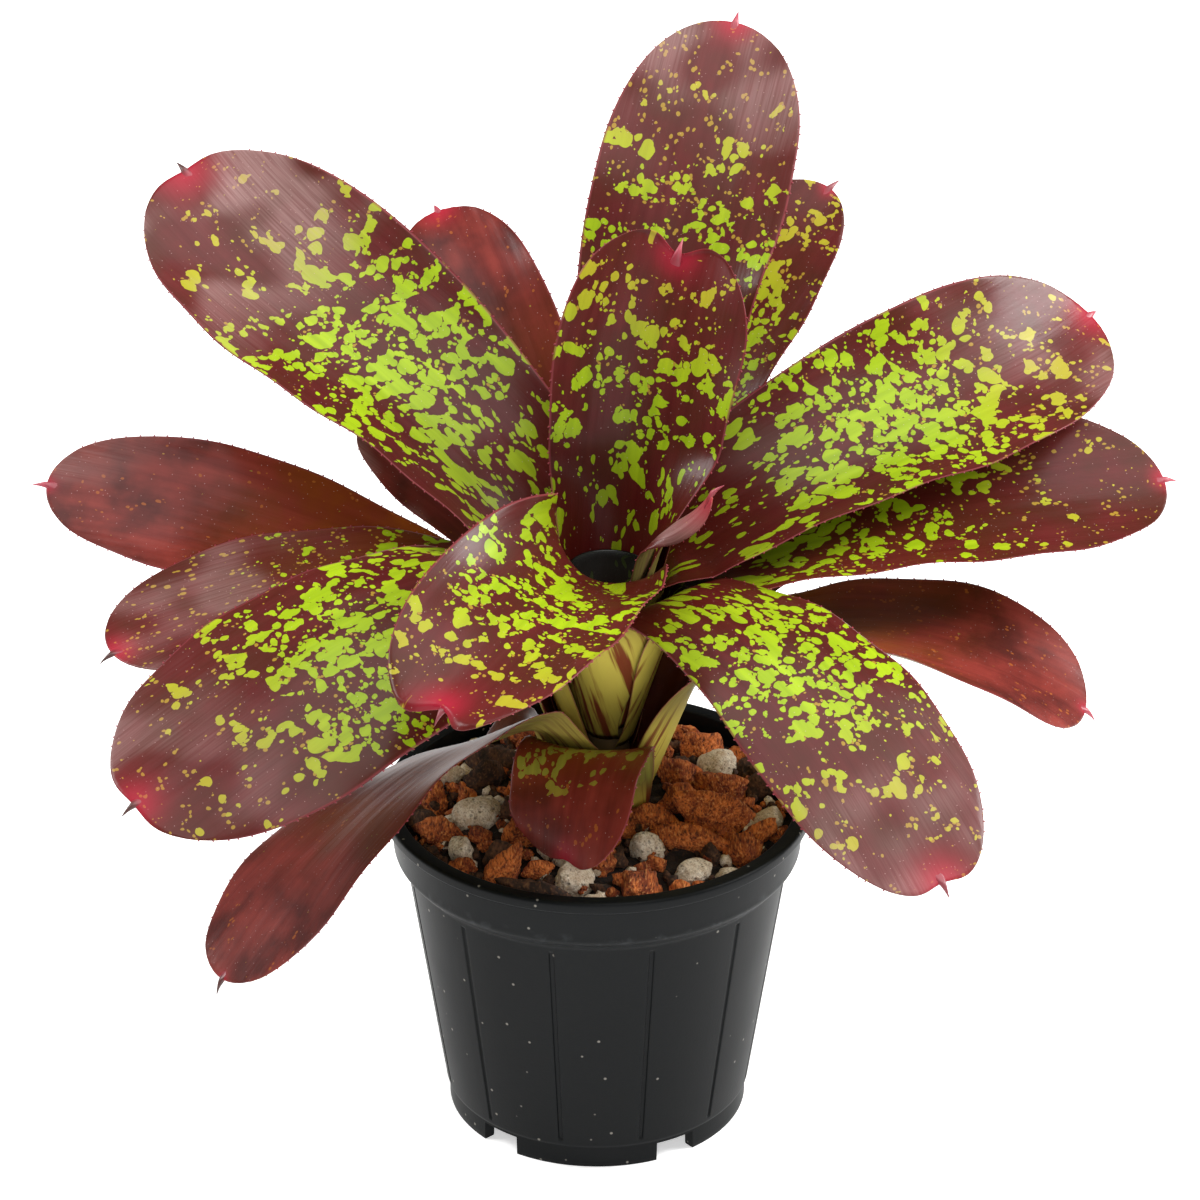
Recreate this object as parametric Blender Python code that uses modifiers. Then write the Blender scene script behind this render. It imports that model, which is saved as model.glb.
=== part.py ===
"""A neoregelia bromeliad in its nursery pot, as separate solids at real size.

The pot's axis is the world's Z axis and its feet stand on z = 0. Sizes are in millimetres and angles in
degrees, and MM turns them to metres. Azimuth runs from +X towards +Y, and the plant's front faces -Y.
"""

import math
import random
from dataclasses import dataclass

import bmesh
import bpy
import numpy as np

MM = 0.001
SEAT_GAP = 0.3

# Pot
POT_HEIGHT = 101.5
LIP_RADIUS = 63.4
LIP_DEPTH = 3.5
LIP_INNER_RADIUS = 58.6
COLLAR_TOP_RADIUS = 61.4
COLLAR_FOOT_RADIUS = 60.2
COLLAR_FOOT_Z = 82.2
BODY_TOP_RADIUS = 56.7
BODY_FOOT_RADIUS = 45.5
BAND_Z = 7.5
FOOT_RADIUS = 44.6
FOOT_WALL = 3.6
FLOOR_UNDER_Z = 6.6
WALL = 1.6
POT_SIDES = 60
GROOVES = 12
GROOVE_START = -13.6
GROOVE_WIDTH = 1.5
GROOVE_DEPTH = 0.5
FEET = 5
FOOT_MIDDLE = -94.5
NOTCH_ANGLE = 16.0
DRAIN_HOLES = 5
DRAIN_RADIUS = 4.5
DRAIN_RING = 30.0

# Plant
PLANT_X = 3.0
PLANT_Y = 7.0
RANKS = 19
STEM_LOW_RADIUS = 11.5
STEM_LOW_Z = 91.0
STEM_TAPER = 9.0
STEM_RISE = 49.0
STEM_FOOT_Z = 72.0
NECK_LOW_ANGLE = 69.0
NECK_GAIN = 7.0
BLADE_THICKNESS = 0.7
SHEATH_WRAP = 1.5
YOUNG_SHEATH_WIDTH = 7.1
OPEN_SHARE = 0.6
CAP_START = 0.62
CAP_POWER = 2.3
END_WIDTH = 0.5
SPINE_LENGTH = 5.0
SPINE_RADIUS = 1.0
SPINE_HOOK = 0.35
SHEATH_ROWS = 5
BLADE_ROWS = 5
CAP_ROWS = 4

# Mix
MIX_EDGE_Z = 95.0
MIX_CROWN = 3.0
MIX_SIDES = 40
STEM_CLEARANCE = 0.62
NECK_CLEARANCE = 0.67
CHIP_SEED = 11
CHIP_RINGS = ((53.0, 17), (43.0, 14), (33.0, 11), (24.0, 7))
CHIP_SIZE = (5.2, 7.6)
CHIP_CLEARANCE = 1.2
STONES = (
    (-36, -5, 8.0, 6.5),
    (-40, -25, 5.4, 4.8),
    (-6, -43, 7.8, 5.2),
    (14, -28, 6.0, 6.4),
    (28, -36, 6.6, 4.4),
    (37, 25, 7.0, 7.0),
    (50, -5, 6.6, 4.8),
    (-30, 36, 7.0, 5.6),
    (6, 46, 6.8, 5.8),
    (-47, 14, 5.6, 5.0),
)

# Water in the cup
WATER_TOP_Z = 173.0
WATER_FOOT_Z = 145.0


@dataclass(frozen=True)
class Leaf:
    """One leaf: where it starts in the nest, and how its blade runs."""

    name: str
    rank: int  # place in the nest, 0 outermost
    azimuth: float  # direction in which it leaves the stem
    length: float  # along the midrib, from the stem to the tip
    width: float  # widest developed width of the blade
    sheath: float  # length that stays in the nest
    turn: float  # length over which it turns out of the nest
    rise: float  # slope above level where the blade starts
    tip_rise: float  # slope above level at the tip
    arch: float  # extra slope at the middle of the blade
    sweep: float  # sideways turn of the midrib by the tip
    bank: float  # tilt of the blade about its midrib
    twist: float  # further tilt by the tip
    trough: float  # half angle of the blade's curved cross-section
    waist: float  # narrowest width over the widest
    notch: float = 0.0  # depth of the notch at the tip
    old: bool = False  # outer leaf that has lost its green
    spined: bool = True  # ends in a hooked spine
    opening: float = 0.0  # how far the trough opens out along the blade
    columns: int = 8


LEAVES = (
    Leaf("leaf_hanging_front", 0, -103, 80, 45, 31, 19, 12, -77, -6, -2, 15, 20, 4, 0.88, 2, True, False),
    Leaf("leaf_drooping_front_left", 1, -143, 165, 60, 31, 10, 25, -42, -14, 5, 40, -33, 1, 0.67, 0, True),
    Leaf("leaf_old_right", 2, -5, 169, 63, 37, 34, 26, -37, 2, 0, -24, 35, 24, 0.72, 0, True),
    Leaf("leaf_low_back_right", 3, 41, 171, 48, 36, 30, 23, -7, -2, -5, 0, 0, 16, 0.69, 0, True, columns=6),
    Leaf("leaf_old_left", 4, 162, 197, 51, 37, 26, 18, 9, -1, 16, 1, -37, 21, 0.60, 0, True),
    Leaf("leaf_low_back", 5, 106, 140, 48, 42, 32, 26, -2, -2, 7, 0, 0, 16, 0.68, 0, True, columns=6),
    Leaf("leaf_narrow_left", 6, 136, 130, 33, 41, 32, 35, 26, -5, 21, -11, -15, 18, 0.72, 0, True, columns=6),
    Leaf("leaf_middle_left", 7, -177, 178, 63, 44, 28, 26, -12, -11, 26, -3, 1, 11, 0.57),
    Leaf("leaf_back_left", 8, 121, 175, 43, 44, 23, 51, 13, 16, -12, -10, -7, 30, 0.56, 0, True),
    Leaf("leaf_back_right", 9, 66, 185, 45, 42, 15, 58, 32, -6, -28, 3, 20, 30, 0.32),
    Leaf("leaf_lower_right", 10, 12, 201, 59, 43, 22, 21, -1, -6, 5, 15, 14, 31, 0.75),
    Leaf("leaf_large_front_left", 11, -142, 201, 74, 39, 26, 35, -22, -18, -5, -13, -8, -13, 0.78, 2),
    Leaf("leaf_large_front_right", 12, -49, 192, 58, 37, 27, 38, -34, -21, -9, 0, 14, -12, 0.64, 3),
    Leaf("leaf_large_upper_left", 13, 146, 220, 71, 45, 17, 56, 31, -20, -15, -11, -16, 27, 0.71, 2),
    Leaf("leaf_large_right", 14, 22, 210, 62, 43, 9, 37, 6, -10, 31, 21, 17, 33, 0.72),
    Leaf("leaf_tall_back", 15, 69, 207, 59, 60, 24, 64, 40, -2, 3, -2, 17, 19, 0.73),
    Leaf("leaf_cup_front", 16, -107, 160, 57, 38, 15, 44, -15, -12, -20, -39, 38, 76, 0.90, 8,
         opening=51, columns=12),
    Leaf("leaf_cup_back", 17, 65, 134, 58, 44, 22, 87, 54, -2, -10, 12, 12, 37, 0.86, 6),
    Leaf("leaf_young_rolled", 18, -35, 79, 10, 45, 11, 40, 62, -10, 7, 40, -12, -75, 1.0, spined=False, columns=6),
)


def material(name, colour, roughness, metallic=0.0, alpha=1.0):
    """A Principled BSDF material of one colour."""
    made = bpy.data.materials.new(name)
    made.use_nodes = True
    shader = made.node_tree.nodes["Principled BSDF"]
    shader.inputs["Base Color"].default_value = (*colour, 1.0)
    shader.inputs["Roughness"].default_value = roughness
    shader.inputs["Metallic"].default_value = metallic
    shader.inputs["Alpha"].default_value = alpha
    return made


def collection(name, helper=False):
    """A collection of the scene; a helper one stays out of renders."""
    made = bpy.data.collections.new(name)
    made.hide_render = helper
    bpy.context.scene.collection.children.link(made)
    return made


def add_object(name, mesh, where, finish=None):
    """An object for the mesh in the given collection."""
    made = bpy.data.objects.new(name, mesh)
    if finish is not None:
        mesh.materials.append(finish)
    where.objects.link(made)
    return made


def mesh_of(name, points, faces):
    """A mesh from points in millimetres."""
    made = bpy.data.meshes.new(name)
    made.from_pydata((np.asarray(points) * MM).tolist(), [], faces)
    made.update()
    return made


def turned(name, profile, sides, where, finish=None, centre=(0.0, 0.0)):
    """A body turned about the vertical through centre, from (radius, z) points."""
    points = [(radius, 0.0, z) for radius, z in profile]
    mesh = bpy.data.meshes.new(name)
    edges = [(i, i + 1) for i in range(len(points) - 1)]
    mesh.from_pydata((np.array(points) * MM).tolist(), edges, [])
    made = add_object(name, mesh, where, finish)
    made.location = (centre[0] * MM, centre[1] * MM, 0.0)
    screw = made.modifiers.new("Turn", "SCREW")
    screw.axis = "Z"
    screw.steps = sides
    screw.render_steps = sides
    screw.use_merge_vertices = True
    screw.merge_threshold = 0.00001
    screw.use_smooth_shade = True
    return made


def boolean(target, operation, other, solver="EXACT"):
    """A Boolean modifier with one object, or with a collection of them."""
    made = target.modifiers.new(operation.title(), "BOOLEAN")
    made.operation = operation
    made.solver = solver
    if isinstance(other, bpy.types.Collection):
        made.operand_type = "COLLECTION"
        made.collection = other
    else:
        made.object = other
    return made


def helper_of(made):
    """Shows a cutter as a wire frame and keeps it out of renders."""
    made.hide_render = True
    made.display_type = "WIRE"
    return made


def applied(made):
    """Turns the evaluated shape into the object's own mesh."""
    bpy.context.view_layer.update()
    graph = bpy.context.evaluated_depsgraph_get()
    mesh = bpy.data.meshes.new_from_object(made.evaluated_get(graph))
    made.modifiers.clear()
    old = made.data
    made.data = mesh
    bpy.data.meshes.remove(old)
    return made


def discard(members):
    """Removes a collection of helpers with its objects."""
    for made in list(members.objects):
        bpy.data.objects.remove(made)
    bpy.data.collections.remove(members)


def smooth_by_angle(mesh, limit):
    """Shades the mesh smooth except over edges sharper than limit degrees."""
    mesh.shade_smooth()
    mesh.set_sharp_from_angle(angle=math.radians(limit))


def smooth(x):
    """A step from 0 to 1 with level ends."""
    x = np.clip(x, 0.0, 1.0)
    return x * x * (3.0 - 2.0 * x)


# Each leaf is worked out on two measures: s runs along its midrib from the stem, and a across it.


def nest_place(leaf):
    """The leaf's starting radius and height on the stem, and its neck's slope."""
    share = leaf.rank / RANKS
    radius = STEM_LOW_RADIUS - STEM_TAPER * share
    return radius, STEM_LOW_Z + STEM_RISE * share, NECK_LOW_ANGLE + NECK_GAIN * share


def blade_share(leaf, s):
    """How far along the free blade s lies, from 0 to 1."""
    return np.clip((s - leaf.sheath) / (leaf.length - leaf.sheath), 0.0, 1.0)


def tangent(slope, heading):
    """Unit direction of the midrib for a slope above level and a heading."""
    level = np.cos(slope)
    return np.stack([level * np.cos(heading), level * np.sin(heading), np.sin(slope)], -1)


def midrib(leaf, s):
    """Points, slopes and headings of the midrib at each s."""
    radius, z, neck = nest_place(leaf)
    steps = np.linspace(0.0, leaf.length, 300)
    x = blade_share(leaf, steps)
    blade = leaf.rise + (leaf.tip_rise - leaf.rise) * x + leaf.arch * 4.0 * x * (1.0 - x)
    slope = np.radians(neck + (blade - neck) * smooth((steps - leaf.sheath) / leaf.turn))
    heading = np.radians(leaf.azimuth + leaf.sweep * x * x)
    way = tangent(slope, heading)
    out = math.radians(leaf.azimuth)
    start = np.array([PLANT_X + radius * math.cos(out), PLANT_Y + radius * math.sin(out), z])
    run = np.cumsum((way[1:] + way[:-1]) / 2.0 * (steps[1] - steps[0]), 0)
    path = start + np.vstack([np.zeros(3), run])
    points = np.stack([np.interp(s, steps, path[:, k]) for k in range(3)], -1)
    return points, np.interp(s, steps, slope), np.interp(s, steps, heading)


def developed_width(leaf, s):
    """Width of the leaf, laid flat, before its end rounds off."""
    radius = nest_place(leaf)[0]
    sheath = YOUNG_SHEATH_WIDTH if leaf.rank == RANKS - 1 else 2.0 * SHEATH_WRAP * radius
    x = blade_share(leaf, s) / CAP_START
    blade = leaf.width * (leaf.waist + (1.0 - leaf.waist) * smooth(x))
    return sheath + (blade - sheath) * smooth(s / leaf.sheath)


def leaf_grid(leaf, sheath_rows, blade_rows, cap_rows, columns):
    """Values of s and a: straight rows up to the cap, then rows that round the end."""
    cap = leaf.sheath + CAP_START * (leaf.length - leaf.sheath)
    turned_out = min(leaf.sheath + leaf.turn, cap - 5.0)
    low = np.linspace(0.0, turned_out, sheath_rows + 1)[:-1]
    middle = np.linspace(turned_out, cap, blade_rows + 1)[:-1]
    straight = np.concatenate([low, middle])
    v = np.linspace(-1.0, 1.0, columns + 1)[None, :]
    w = np.cos(np.linspace(0.0, math.acos(END_WIDTH), cap_rows + 1))[:, None]
    k = np.linspace(0.0, 1.0, cap_rows + 1)[:, None] ** 1.5
    edge = (1.0 - w * w) ** (1.0 / CAP_POWER)
    full = (1.0 - (w * v) ** 2) ** (1.0 / CAP_POWER)
    reach = edge + k * (full - edge)
    notch = leaf.notch * np.exp(-((v / 0.42) ** 2)) * k**2
    rows = straight[:, None] + 0.0 * v
    s = np.vstack([rows, cap + reach * (leaf.length - cap) - notch])
    at = np.vstack([rows, cap + edge * (leaf.length - cap) + 0.0 * v])
    share = np.vstack([np.ones((len(straight), 1)), w])
    return s, v * share * developed_width(leaf, at) / 2.0


def leaf_surface(leaf, s, a):
    """Points of the middle of the leaf, at any s and a.

    In the nest the leaf wraps round the stem. Past the sheath it frees itself and becomes a trough
    of its own, an arc across the midrib, tilted about it.
    """
    shape = s.shape
    s = s.ravel()
    a = a.ravel()
    spine, slope, heading = midrib(leaf, s)
    way = tangent(slope, heading)
    side = np.stack([-np.sin(heading), np.cos(heading), 0.0 * heading], -1)
    up = np.cross(way, side)
    free = smooth((s - leaf.sheath) / (1.4 * leaf.turn))
    tilt = np.radians(free * (leaf.bank + leaf.twist * blade_share(leaf, s)))[:, None]
    across = side * np.cos(tilt) + up * np.sin(tilt)
    above = up * np.cos(tilt) - side * np.sin(tilt)
    trough = leaf.trough - leaf.opening * smooth(blade_share(leaf, s) / OPEN_SHARE)
    bend = 2.0 * np.radians(trough) / developed_width(leaf, s)
    blade = spine + (np.sin(bend * a) / bend)[:, None] * across
    blade += ((1.0 - np.cos(bend * a)) / bend)[:, None] * above
    out = spine[:, :2] - np.array([PLANT_X, PLANT_Y])
    radius = np.hypot(out[:, 0], out[:, 1])
    angle = np.arctan2(out[:, 1], out[:, 0]) + np.clip(a / np.maximum(radius, 1.0), -2.4, 2.4)
    x = PLANT_X + radius * np.cos(angle)
    y = PLANT_Y + radius * np.sin(angle)
    nest = np.stack([x, y, spine[:, 2]], -1)
    free = free[:, None]
    return (nest * (1.0 - free) + blade * free).reshape(shape + (3,))


def leaf_mesh(leaf):
    """A closed blade of even thickness, split into triangles alike on both faces."""
    s, a = leaf_grid(leaf, SHEATH_ROWS, BLADE_ROWS, CAP_ROWS, leaf.columns)
    middle = leaf_surface(leaf, s, a)
    normal = np.cross(np.gradient(middle, axis=0), np.gradient(middle, axis=1))
    normal /= np.linalg.norm(normal, axis=2, keepdims=True)
    upper = middle + normal * BLADE_THICKNESS / 2.0
    lower = middle - normal * BLADE_THICKNESS / 2.0
    points = np.vstack([upper.reshape(-1, 3), lower.reshape(-1, 3)])
    count = s.size
    index = np.arange(count).reshape(s.shape)
    corner_a = index[:-1, :-1].ravel()
    corner_b = index[1:, :-1].ravel()
    corner_c = index[1:, 1:].ravel()
    corner_d = index[:-1, 1:].ravel()
    faces = [
        np.stack([corner_a, corner_b, corner_c], 1),
        np.stack([corner_a, corner_c, corner_d], 1),
        np.stack([corner_a, corner_c, corner_b], 1) + count,
        np.stack([corner_a, corner_d, corner_c], 1) + count,
    ]
    around = np.concatenate([index[:, 0], index[-1, 1:], index[-2::-1, -1], index[0, -2:0:-1]])
    after = np.roll(around, -1)
    faces.append(np.stack([around, around + count, after + count], 1))
    faces.append(np.stack([around, after + count, after], 1))
    return mesh_of(leaf.name, points, np.vstack(faces).tolist()), middle, normal


def spine_mesh(leaf, middle, normal):
    """The hooked spine at the tip: a five-sided cone rooted in the blade, turned under."""
    centre = leaf.columns // 2
    tip = middle[-1, centre]
    way = tip - middle[-2, centre]
    way /= np.linalg.norm(way)
    under = -normal[-1, centre]
    side = np.cross(way, under)
    root = tip - 2.2 * way
    bend = tip + 0.45 * SPINE_LENGTH * way + 0.1 * SPINE_LENGTH * under
    end = tip + SPINE_LENGTH * (way * (1.0 - SPINE_HOOK) + under * SPINE_HOOK)
    points = []
    for centre_point, radius in ((root, SPINE_RADIUS), (bend, 0.6 * SPINE_RADIUS)):
        for corner in range(5):
            angle = math.tau * corner / 5.0
            points.append(centre_point + radius * (math.cos(angle) * under + math.sin(angle) * side))
    points.append(end)
    faces = [[4, 3, 2, 1, 0]]
    for corner in range(5):
        after = (corner + 1) % 5
        faces.append([corner, after, after + 5, corner + 5])
        faces.append([corner + 5, after + 5, 10])
    return mesh_of(leaf.name + "_spine", points, faces)


def build_leaf(leaf, where, helpers):
    """A leaf node with its spine fused on, and the points of its surface."""
    colour = (0.11, 0.022, 0.02) if leaf.old else (0.10, 0.13, 0.025)
    mesh, middle, normal = leaf_mesh(leaf)
    made = add_object(leaf.name, mesh, where, material(leaf.name + "_tissue", colour, 0.42))
    if leaf.spined:
        spine = add_object(leaf.name + "_spine", spine_mesh(leaf, middle, normal), helpers)
        boolean(made, "UNION", spine, "MANIFOLD")
        applied(made)
    made.data.shade_smooth()
    return made


def wall_radius(z):
    """Radius of the body's outside at a height under the collar."""
    share = (z - BAND_Z) / (COLLAR_FOOT_Z - BAND_Z)
    return BODY_FOOT_RADIUS + (BODY_TOP_RADIUS - BODY_FOOT_RADIUS) * share


def build_pot(where):
    """The nursery pot: one wall with lip and collar, upright grooves, feet and drain holes."""
    floor_z = FLOOR_UNDER_Z + 2.0
    collar_low_z = COLLAR_FOOT_Z + 2.3
    profile = [
        (0.0, floor_z),
        (wall_radius(floor_z) - WALL - 1.5, floor_z),
        (wall_radius(floor_z) - WALL, floor_z + 1.5),
        (BODY_TOP_RADIUS - WALL, COLLAR_FOOT_Z - 1.0),
        (LIP_INNER_RADIUS - 0.4, collar_low_z),
        (LIP_INNER_RADIUS, POT_HEIGHT - 0.6),
        (LIP_INNER_RADIUS + 0.6, POT_HEIGHT),
        (LIP_RADIUS - 0.7, POT_HEIGHT),
        (LIP_RADIUS, POT_HEIGHT - 0.7),
        (LIP_RADIUS, POT_HEIGHT - LIP_DEPTH + 0.5),
        (LIP_RADIUS - 0.5, POT_HEIGHT - LIP_DEPTH),
        (COLLAR_TOP_RADIUS, POT_HEIGHT - LIP_DEPTH),
        (COLLAR_FOOT_RADIUS, COLLAR_FOOT_Z + 5.8),
        (COLLAR_FOOT_RADIUS - 0.6, collar_low_z),
        (BODY_TOP_RADIUS + 0.9, COLLAR_FOOT_Z),
        (BODY_TOP_RADIUS, COLLAR_FOOT_Z - 0.2),
        (BODY_FOOT_RADIUS, BAND_Z),
        (FOOT_RADIUS + 0.2, BAND_Z - 0.5),
        (FOOT_RADIUS, 0.0),
        (FOOT_RADIUS - FOOT_WALL, 0.0),
        (FOOT_RADIUS - FOOT_WALL, FLOOR_UNDER_Z),
        (0.0, FLOOR_UNDER_Z),
    ]
    made = turned("pot", profile, POT_SIDES, where, material("pot_plastic", (0.024, 0.026, 0.028), 0.5))
    cutters = collection("pot_cutters", helper=True)
    low_z = BAND_Z + 1.5
    high_z = COLLAR_FOOT_Z - 1.2
    lean = math.atan2(wall_radius(high_z) - wall_radius(low_z), high_z - low_z)
    middle_z = (low_z + high_z) / 2.0
    for number in range(GROOVES):
        turn = math.radians(-90.0 + GROOVE_START + 360.0 / GROOVES * number)
        out = wall_radius(middle_z) + 1.0 - GROOVE_DEPTH
        size = (2.0, GROOVE_WIDTH, (high_z - low_z) / math.cos(lean))
        block(f"groove_{number}", cutters, size, (out, middle_z), turn, lean)
    for number in range(FEET):
        turn = math.radians(FOOT_MIDDLE + 360.0 / FEET * (number + 0.5))
        opening = 2.0 * FOOT_RADIUS * math.sin(math.radians(NOTCH_ANGLE / 2.0))
        block(f"notch_{number}", cutters, (10.0, opening, 14.0), (FOOT_RADIUS - 1.0, -1.0), turn, 0.0)
    for number in range(DRAIN_HOLES):
        turn = math.radians(FOOT_MIDDLE + 360.0 / DRAIN_HOLES * (number + 0.5))
        drain(f"drain_{number}", cutters, DRAIN_RING, turn)
    boolean(made, "DIFFERENCE", cutters)
    applied(made)
    discard(cutters)
    smooth_by_angle(made.data, 32.0)
    return made


def block(name, where, size, place, turn, lean):
    """A box cutter: size is radial, tangential and upright; place is radius and z."""
    mesh = bpy.data.meshes.new(name)
    shape = bmesh.new()
    bmesh.ops.create_cube(shape, size=1.0)
    bmesh.ops.scale(shape, vec=[length * MM for length in size], verts=shape.verts)
    shape.to_mesh(mesh)
    shape.free()
    made = helper_of(add_object(name, mesh, where))
    radius, z = place
    made.location = (radius * math.cos(turn) * MM, radius * math.sin(turn) * MM, z * MM)
    made.rotation_euler = (0.0, lean, turn)
    return made


def drain(name, where, ring, turn):
    """A round cutter for one drain hole."""
    mesh = bpy.data.meshes.new(name)
    shape = bmesh.new()
    radius = DRAIN_RADIUS * MM
    bmesh.ops.create_cone(
        shape, cap_ends=True, segments=12, radius1=radius, radius2=radius, depth=8.0 * MM
    )
    shape.to_mesh(mesh)
    shape.free()
    made = helper_of(add_object(name, mesh, where))
    made.location = (ring * math.cos(turn) * MM, ring * math.sin(turn) * MM, FLOOR_UNDER_Z * MM)
    return made


def root_profile(clearance, foot_z):
    """Outline of the stem's buried part, downwards, moved in from the leaf bases."""
    return [
        (STEM_LOW_RADIUS - 0.8 - clearance, foot_z + 4.0),
        (STEM_LOW_RADIUS - 3.2 - clearance, foot_z),
        (0.0, foot_z),
    ]


def build_stem(where):
    """The short stem that the leaf bases stand on."""
    finish = material("stem_tissue", (0.16, 0.10, 0.04), 0.7)
    centre = (PLANT_X, PLANT_Y)
    top = STEM_LOW_Z + STEM_RISE
    profile = [
        (0.0, top),
        (STEM_LOW_RADIUS - STEM_TAPER - STEM_CLEARANCE, top),
        (STEM_LOW_RADIUS - STEM_CLEARANCE, STEM_LOW_Z),
    ]
    profile += root_profile(STEM_CLEARANCE, STEM_FOOT_Z)
    return applied(turned("stem", profile, 20, where, finish, centre))


def stem_hole(where):
    """A cutter for the plain hole that the stem and the leaf bases stand in."""
    neck_foot = STEM_LOW_Z - 0.45
    flare = 1.0 / math.tan(math.radians(NECK_LOW_ANGLE))
    neck_radius = STEM_LOW_RADIUS + NECK_CLEARANCE
    top = STEM_LOW_Z + 20.0
    wall = STEM_CLEARANCE - SEAT_GAP
    profile = [
        (0.0, top),
        (neck_radius + (top - STEM_LOW_Z) * flare, top),
        (neck_radius, neck_foot),
        (STEM_LOW_RADIUS - wall, neck_foot),
    ]
    profile += root_profile(wall, STEM_FOOT_Z - SEAT_GAP)
    return helper_of(applied(turned("stem_hole", profile, 24, where, None, (PLANT_X, PLANT_Y))))


def lump(name, where, place, size, height, rng, level):
    """A rough lump: a ball with its corners moved in and out by a seeded amount."""
    mesh = bpy.data.meshes.new(name)
    shape = bmesh.new()
    bmesh.ops.create_icosphere(shape, subdivisions=level, radius=1.0)
    for vertex in shape.verts:
        vertex.co *= rng.uniform(0.86, 1.08)
    stretch = (size * rng.uniform(1.0, 1.18), size * rng.uniform(0.82, 0.96), height)
    bmesh.ops.scale(shape, vec=[length * MM for length in stretch], verts=shape.verts)
    shape.to_mesh(mesh)
    shape.free()
    made = helper_of(add_object(name, mesh, where))
    made.location = [value * MM for value in place]
    made.rotation_euler = (rng.uniform(-0.3, 0.3), rng.uniform(-0.3, 0.3), rng.uniform(0.0, math.tau))
    return made


def mix_height(x, y):
    """Height of the mix's even surface, a low crown."""
    share = math.hypot(x, y) / LIP_INNER_RADIUS
    return MIX_EDGE_Z + MIX_CROWN * (1.0 - share * share)


def build_mix(where, leaf_points):
    """The potting mix: a filling with bark chips and pumice stones fused into its top."""
    gap = SEAT_GAP
    floor_z = FLOOR_UNDER_Z + 2.0
    crown = [LIP_INNER_RADIUS * step / 4.0 for step in range(4)]
    profile = [(radius, mix_height(radius, 0.0)) for radius in crown]
    profile += [
        (LIP_INNER_RADIUS - 0.2 - gap, MIX_EDGE_Z),
        (LIP_INNER_RADIUS - 0.4 - gap, COLLAR_FOOT_Z + 2.3 + gap),
        (BODY_TOP_RADIUS - WALL - gap, COLLAR_FOOT_Z - 1.0),
        (wall_radius(floor_z) - WALL - gap, floor_z + 1.5 + gap),
        (wall_radius(floor_z) - WALL - 1.5 - gap, floor_z + gap),
        (0.0, floor_z + gap),
    ]
    finish = material("potting_mix", (0.12, 0.045, 0.02), 0.9)
    made = turned("potting_mix", profile, MIX_SIDES, where, finish)
    rng = random.Random(CHIP_SEED)
    lumps = collection("lumps", helper=True)
    taken = []
    for x, y, size, height in STONES:
        place = (x, y, mix_height(x, y) + 0.15 * height)
        if clear_of(place, size, leaf_points, CHIP_CLEARANCE):
            lump("stone", lumps, place, size, height, rng, 2)
            taken.append((x, y, size))
    for ring, count in CHIP_RINGS:
        pull = 1.0 - ring / LIP_INNER_RADIUS
        for number in range(count):
            turn = math.tau * (number + rng.uniform(-0.25, 0.25)) / count
            size = rng.uniform(*CHIP_SIZE)
            x = PLANT_X * pull + ring * math.cos(turn)
            y = PLANT_Y * pull + ring * math.sin(turn)
            limit = LIP_INNER_RADIUS - 1.3 * size - 0.5
            inward = min(1.0, limit / math.hypot(x, y))
            x *= inward
            y *= inward
            if any(math.hypot(x - tx, y - ty) < 0.75 * (size + near) for tx, ty, near in taken):
                continue
            place = (x, y, mix_height(x, y) - rng.uniform(0.0, 0.9))
            if clear_of(place, size, leaf_points, CHIP_CLEARANCE):
                lump("chip", lumps, place, size, 0.72 * size, rng, 1)
                taken.append((x, y, size))
    boolean(made, "UNION", lumps, "MANIFOLD")
    applied(made)
    discard(lumps)
    holes = collection("mix_cutters", helper=True)
    boolean(made, "DIFFERENCE", stem_hole(holes), "MANIFOLD")
    applied(made)
    discard(holes)
    smooth_by_angle(made.data, 25.0)
    return made


def clear_of(place, size, points, spare):
    """Whether a lump of this size keeps the spare distance from all the points."""
    return np.linalg.norm(points - np.array(place), axis=1).min() > 1.18 * size + spare


def build_water(where):
    """The water held in the cup of the inner leaves, as a cone that fits inside them."""
    radius, z, neck = nest_place(LEAVES[-1])
    flare = 1.0 / math.tan(math.radians(neck))
    spare = (BLADE_THICKNESS / 2.0 + SEAT_GAP) / math.sin(math.radians(neck))
    profile = [(0.0, WATER_TOP_Z)]
    for level in (WATER_TOP_Z, WATER_FOOT_Z):
        profile.append((radius + (level - z) * flare - spare, level))
    profile.append((0.0, WATER_FOOT_Z))
    finish = material("tank_water", (0.05, 0.06, 0.045), 0.03, alpha=0.5)
    return applied(turned("tank_water", profile, 24, where, finish, (PLANT_X, PLANT_Y)))


def main():
    """Clears the scene and models the plant in its pot."""
    for made in list(bpy.data.objects):
        bpy.data.objects.remove(made)
    parts = collection("neoregelia")
    helpers = collection("helpers", helper=True)
    surfaces = []
    for leaf in LEAVES:
        build_leaf(leaf, parts, helpers)
        s, a = leaf_grid(leaf, 14, 20, 8, 12)
        surfaces.append(leaf_surface(leaf, s, a).reshape(-1, 3))
    build_pot(parts)
    build_mix(parts, np.vstack(surfaces))
    build_stem(parts)
    build_water(parts)
    discard(helpers)


main()
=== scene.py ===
"""Looks of a neoregelia bromeliad in its nursery pot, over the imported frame.

The frame's axes are kept: the pot's axis is Z, its feet stand on z = 0 and the plant's front faces -Y.
Lengths are in millimetres and angles in degrees, and MM turns a length to Blender's metres.
"""

import logging
import math
from collections.abc import Callable
from dataclasses import dataclass, field
from enum import Enum
from functools import partial

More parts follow.
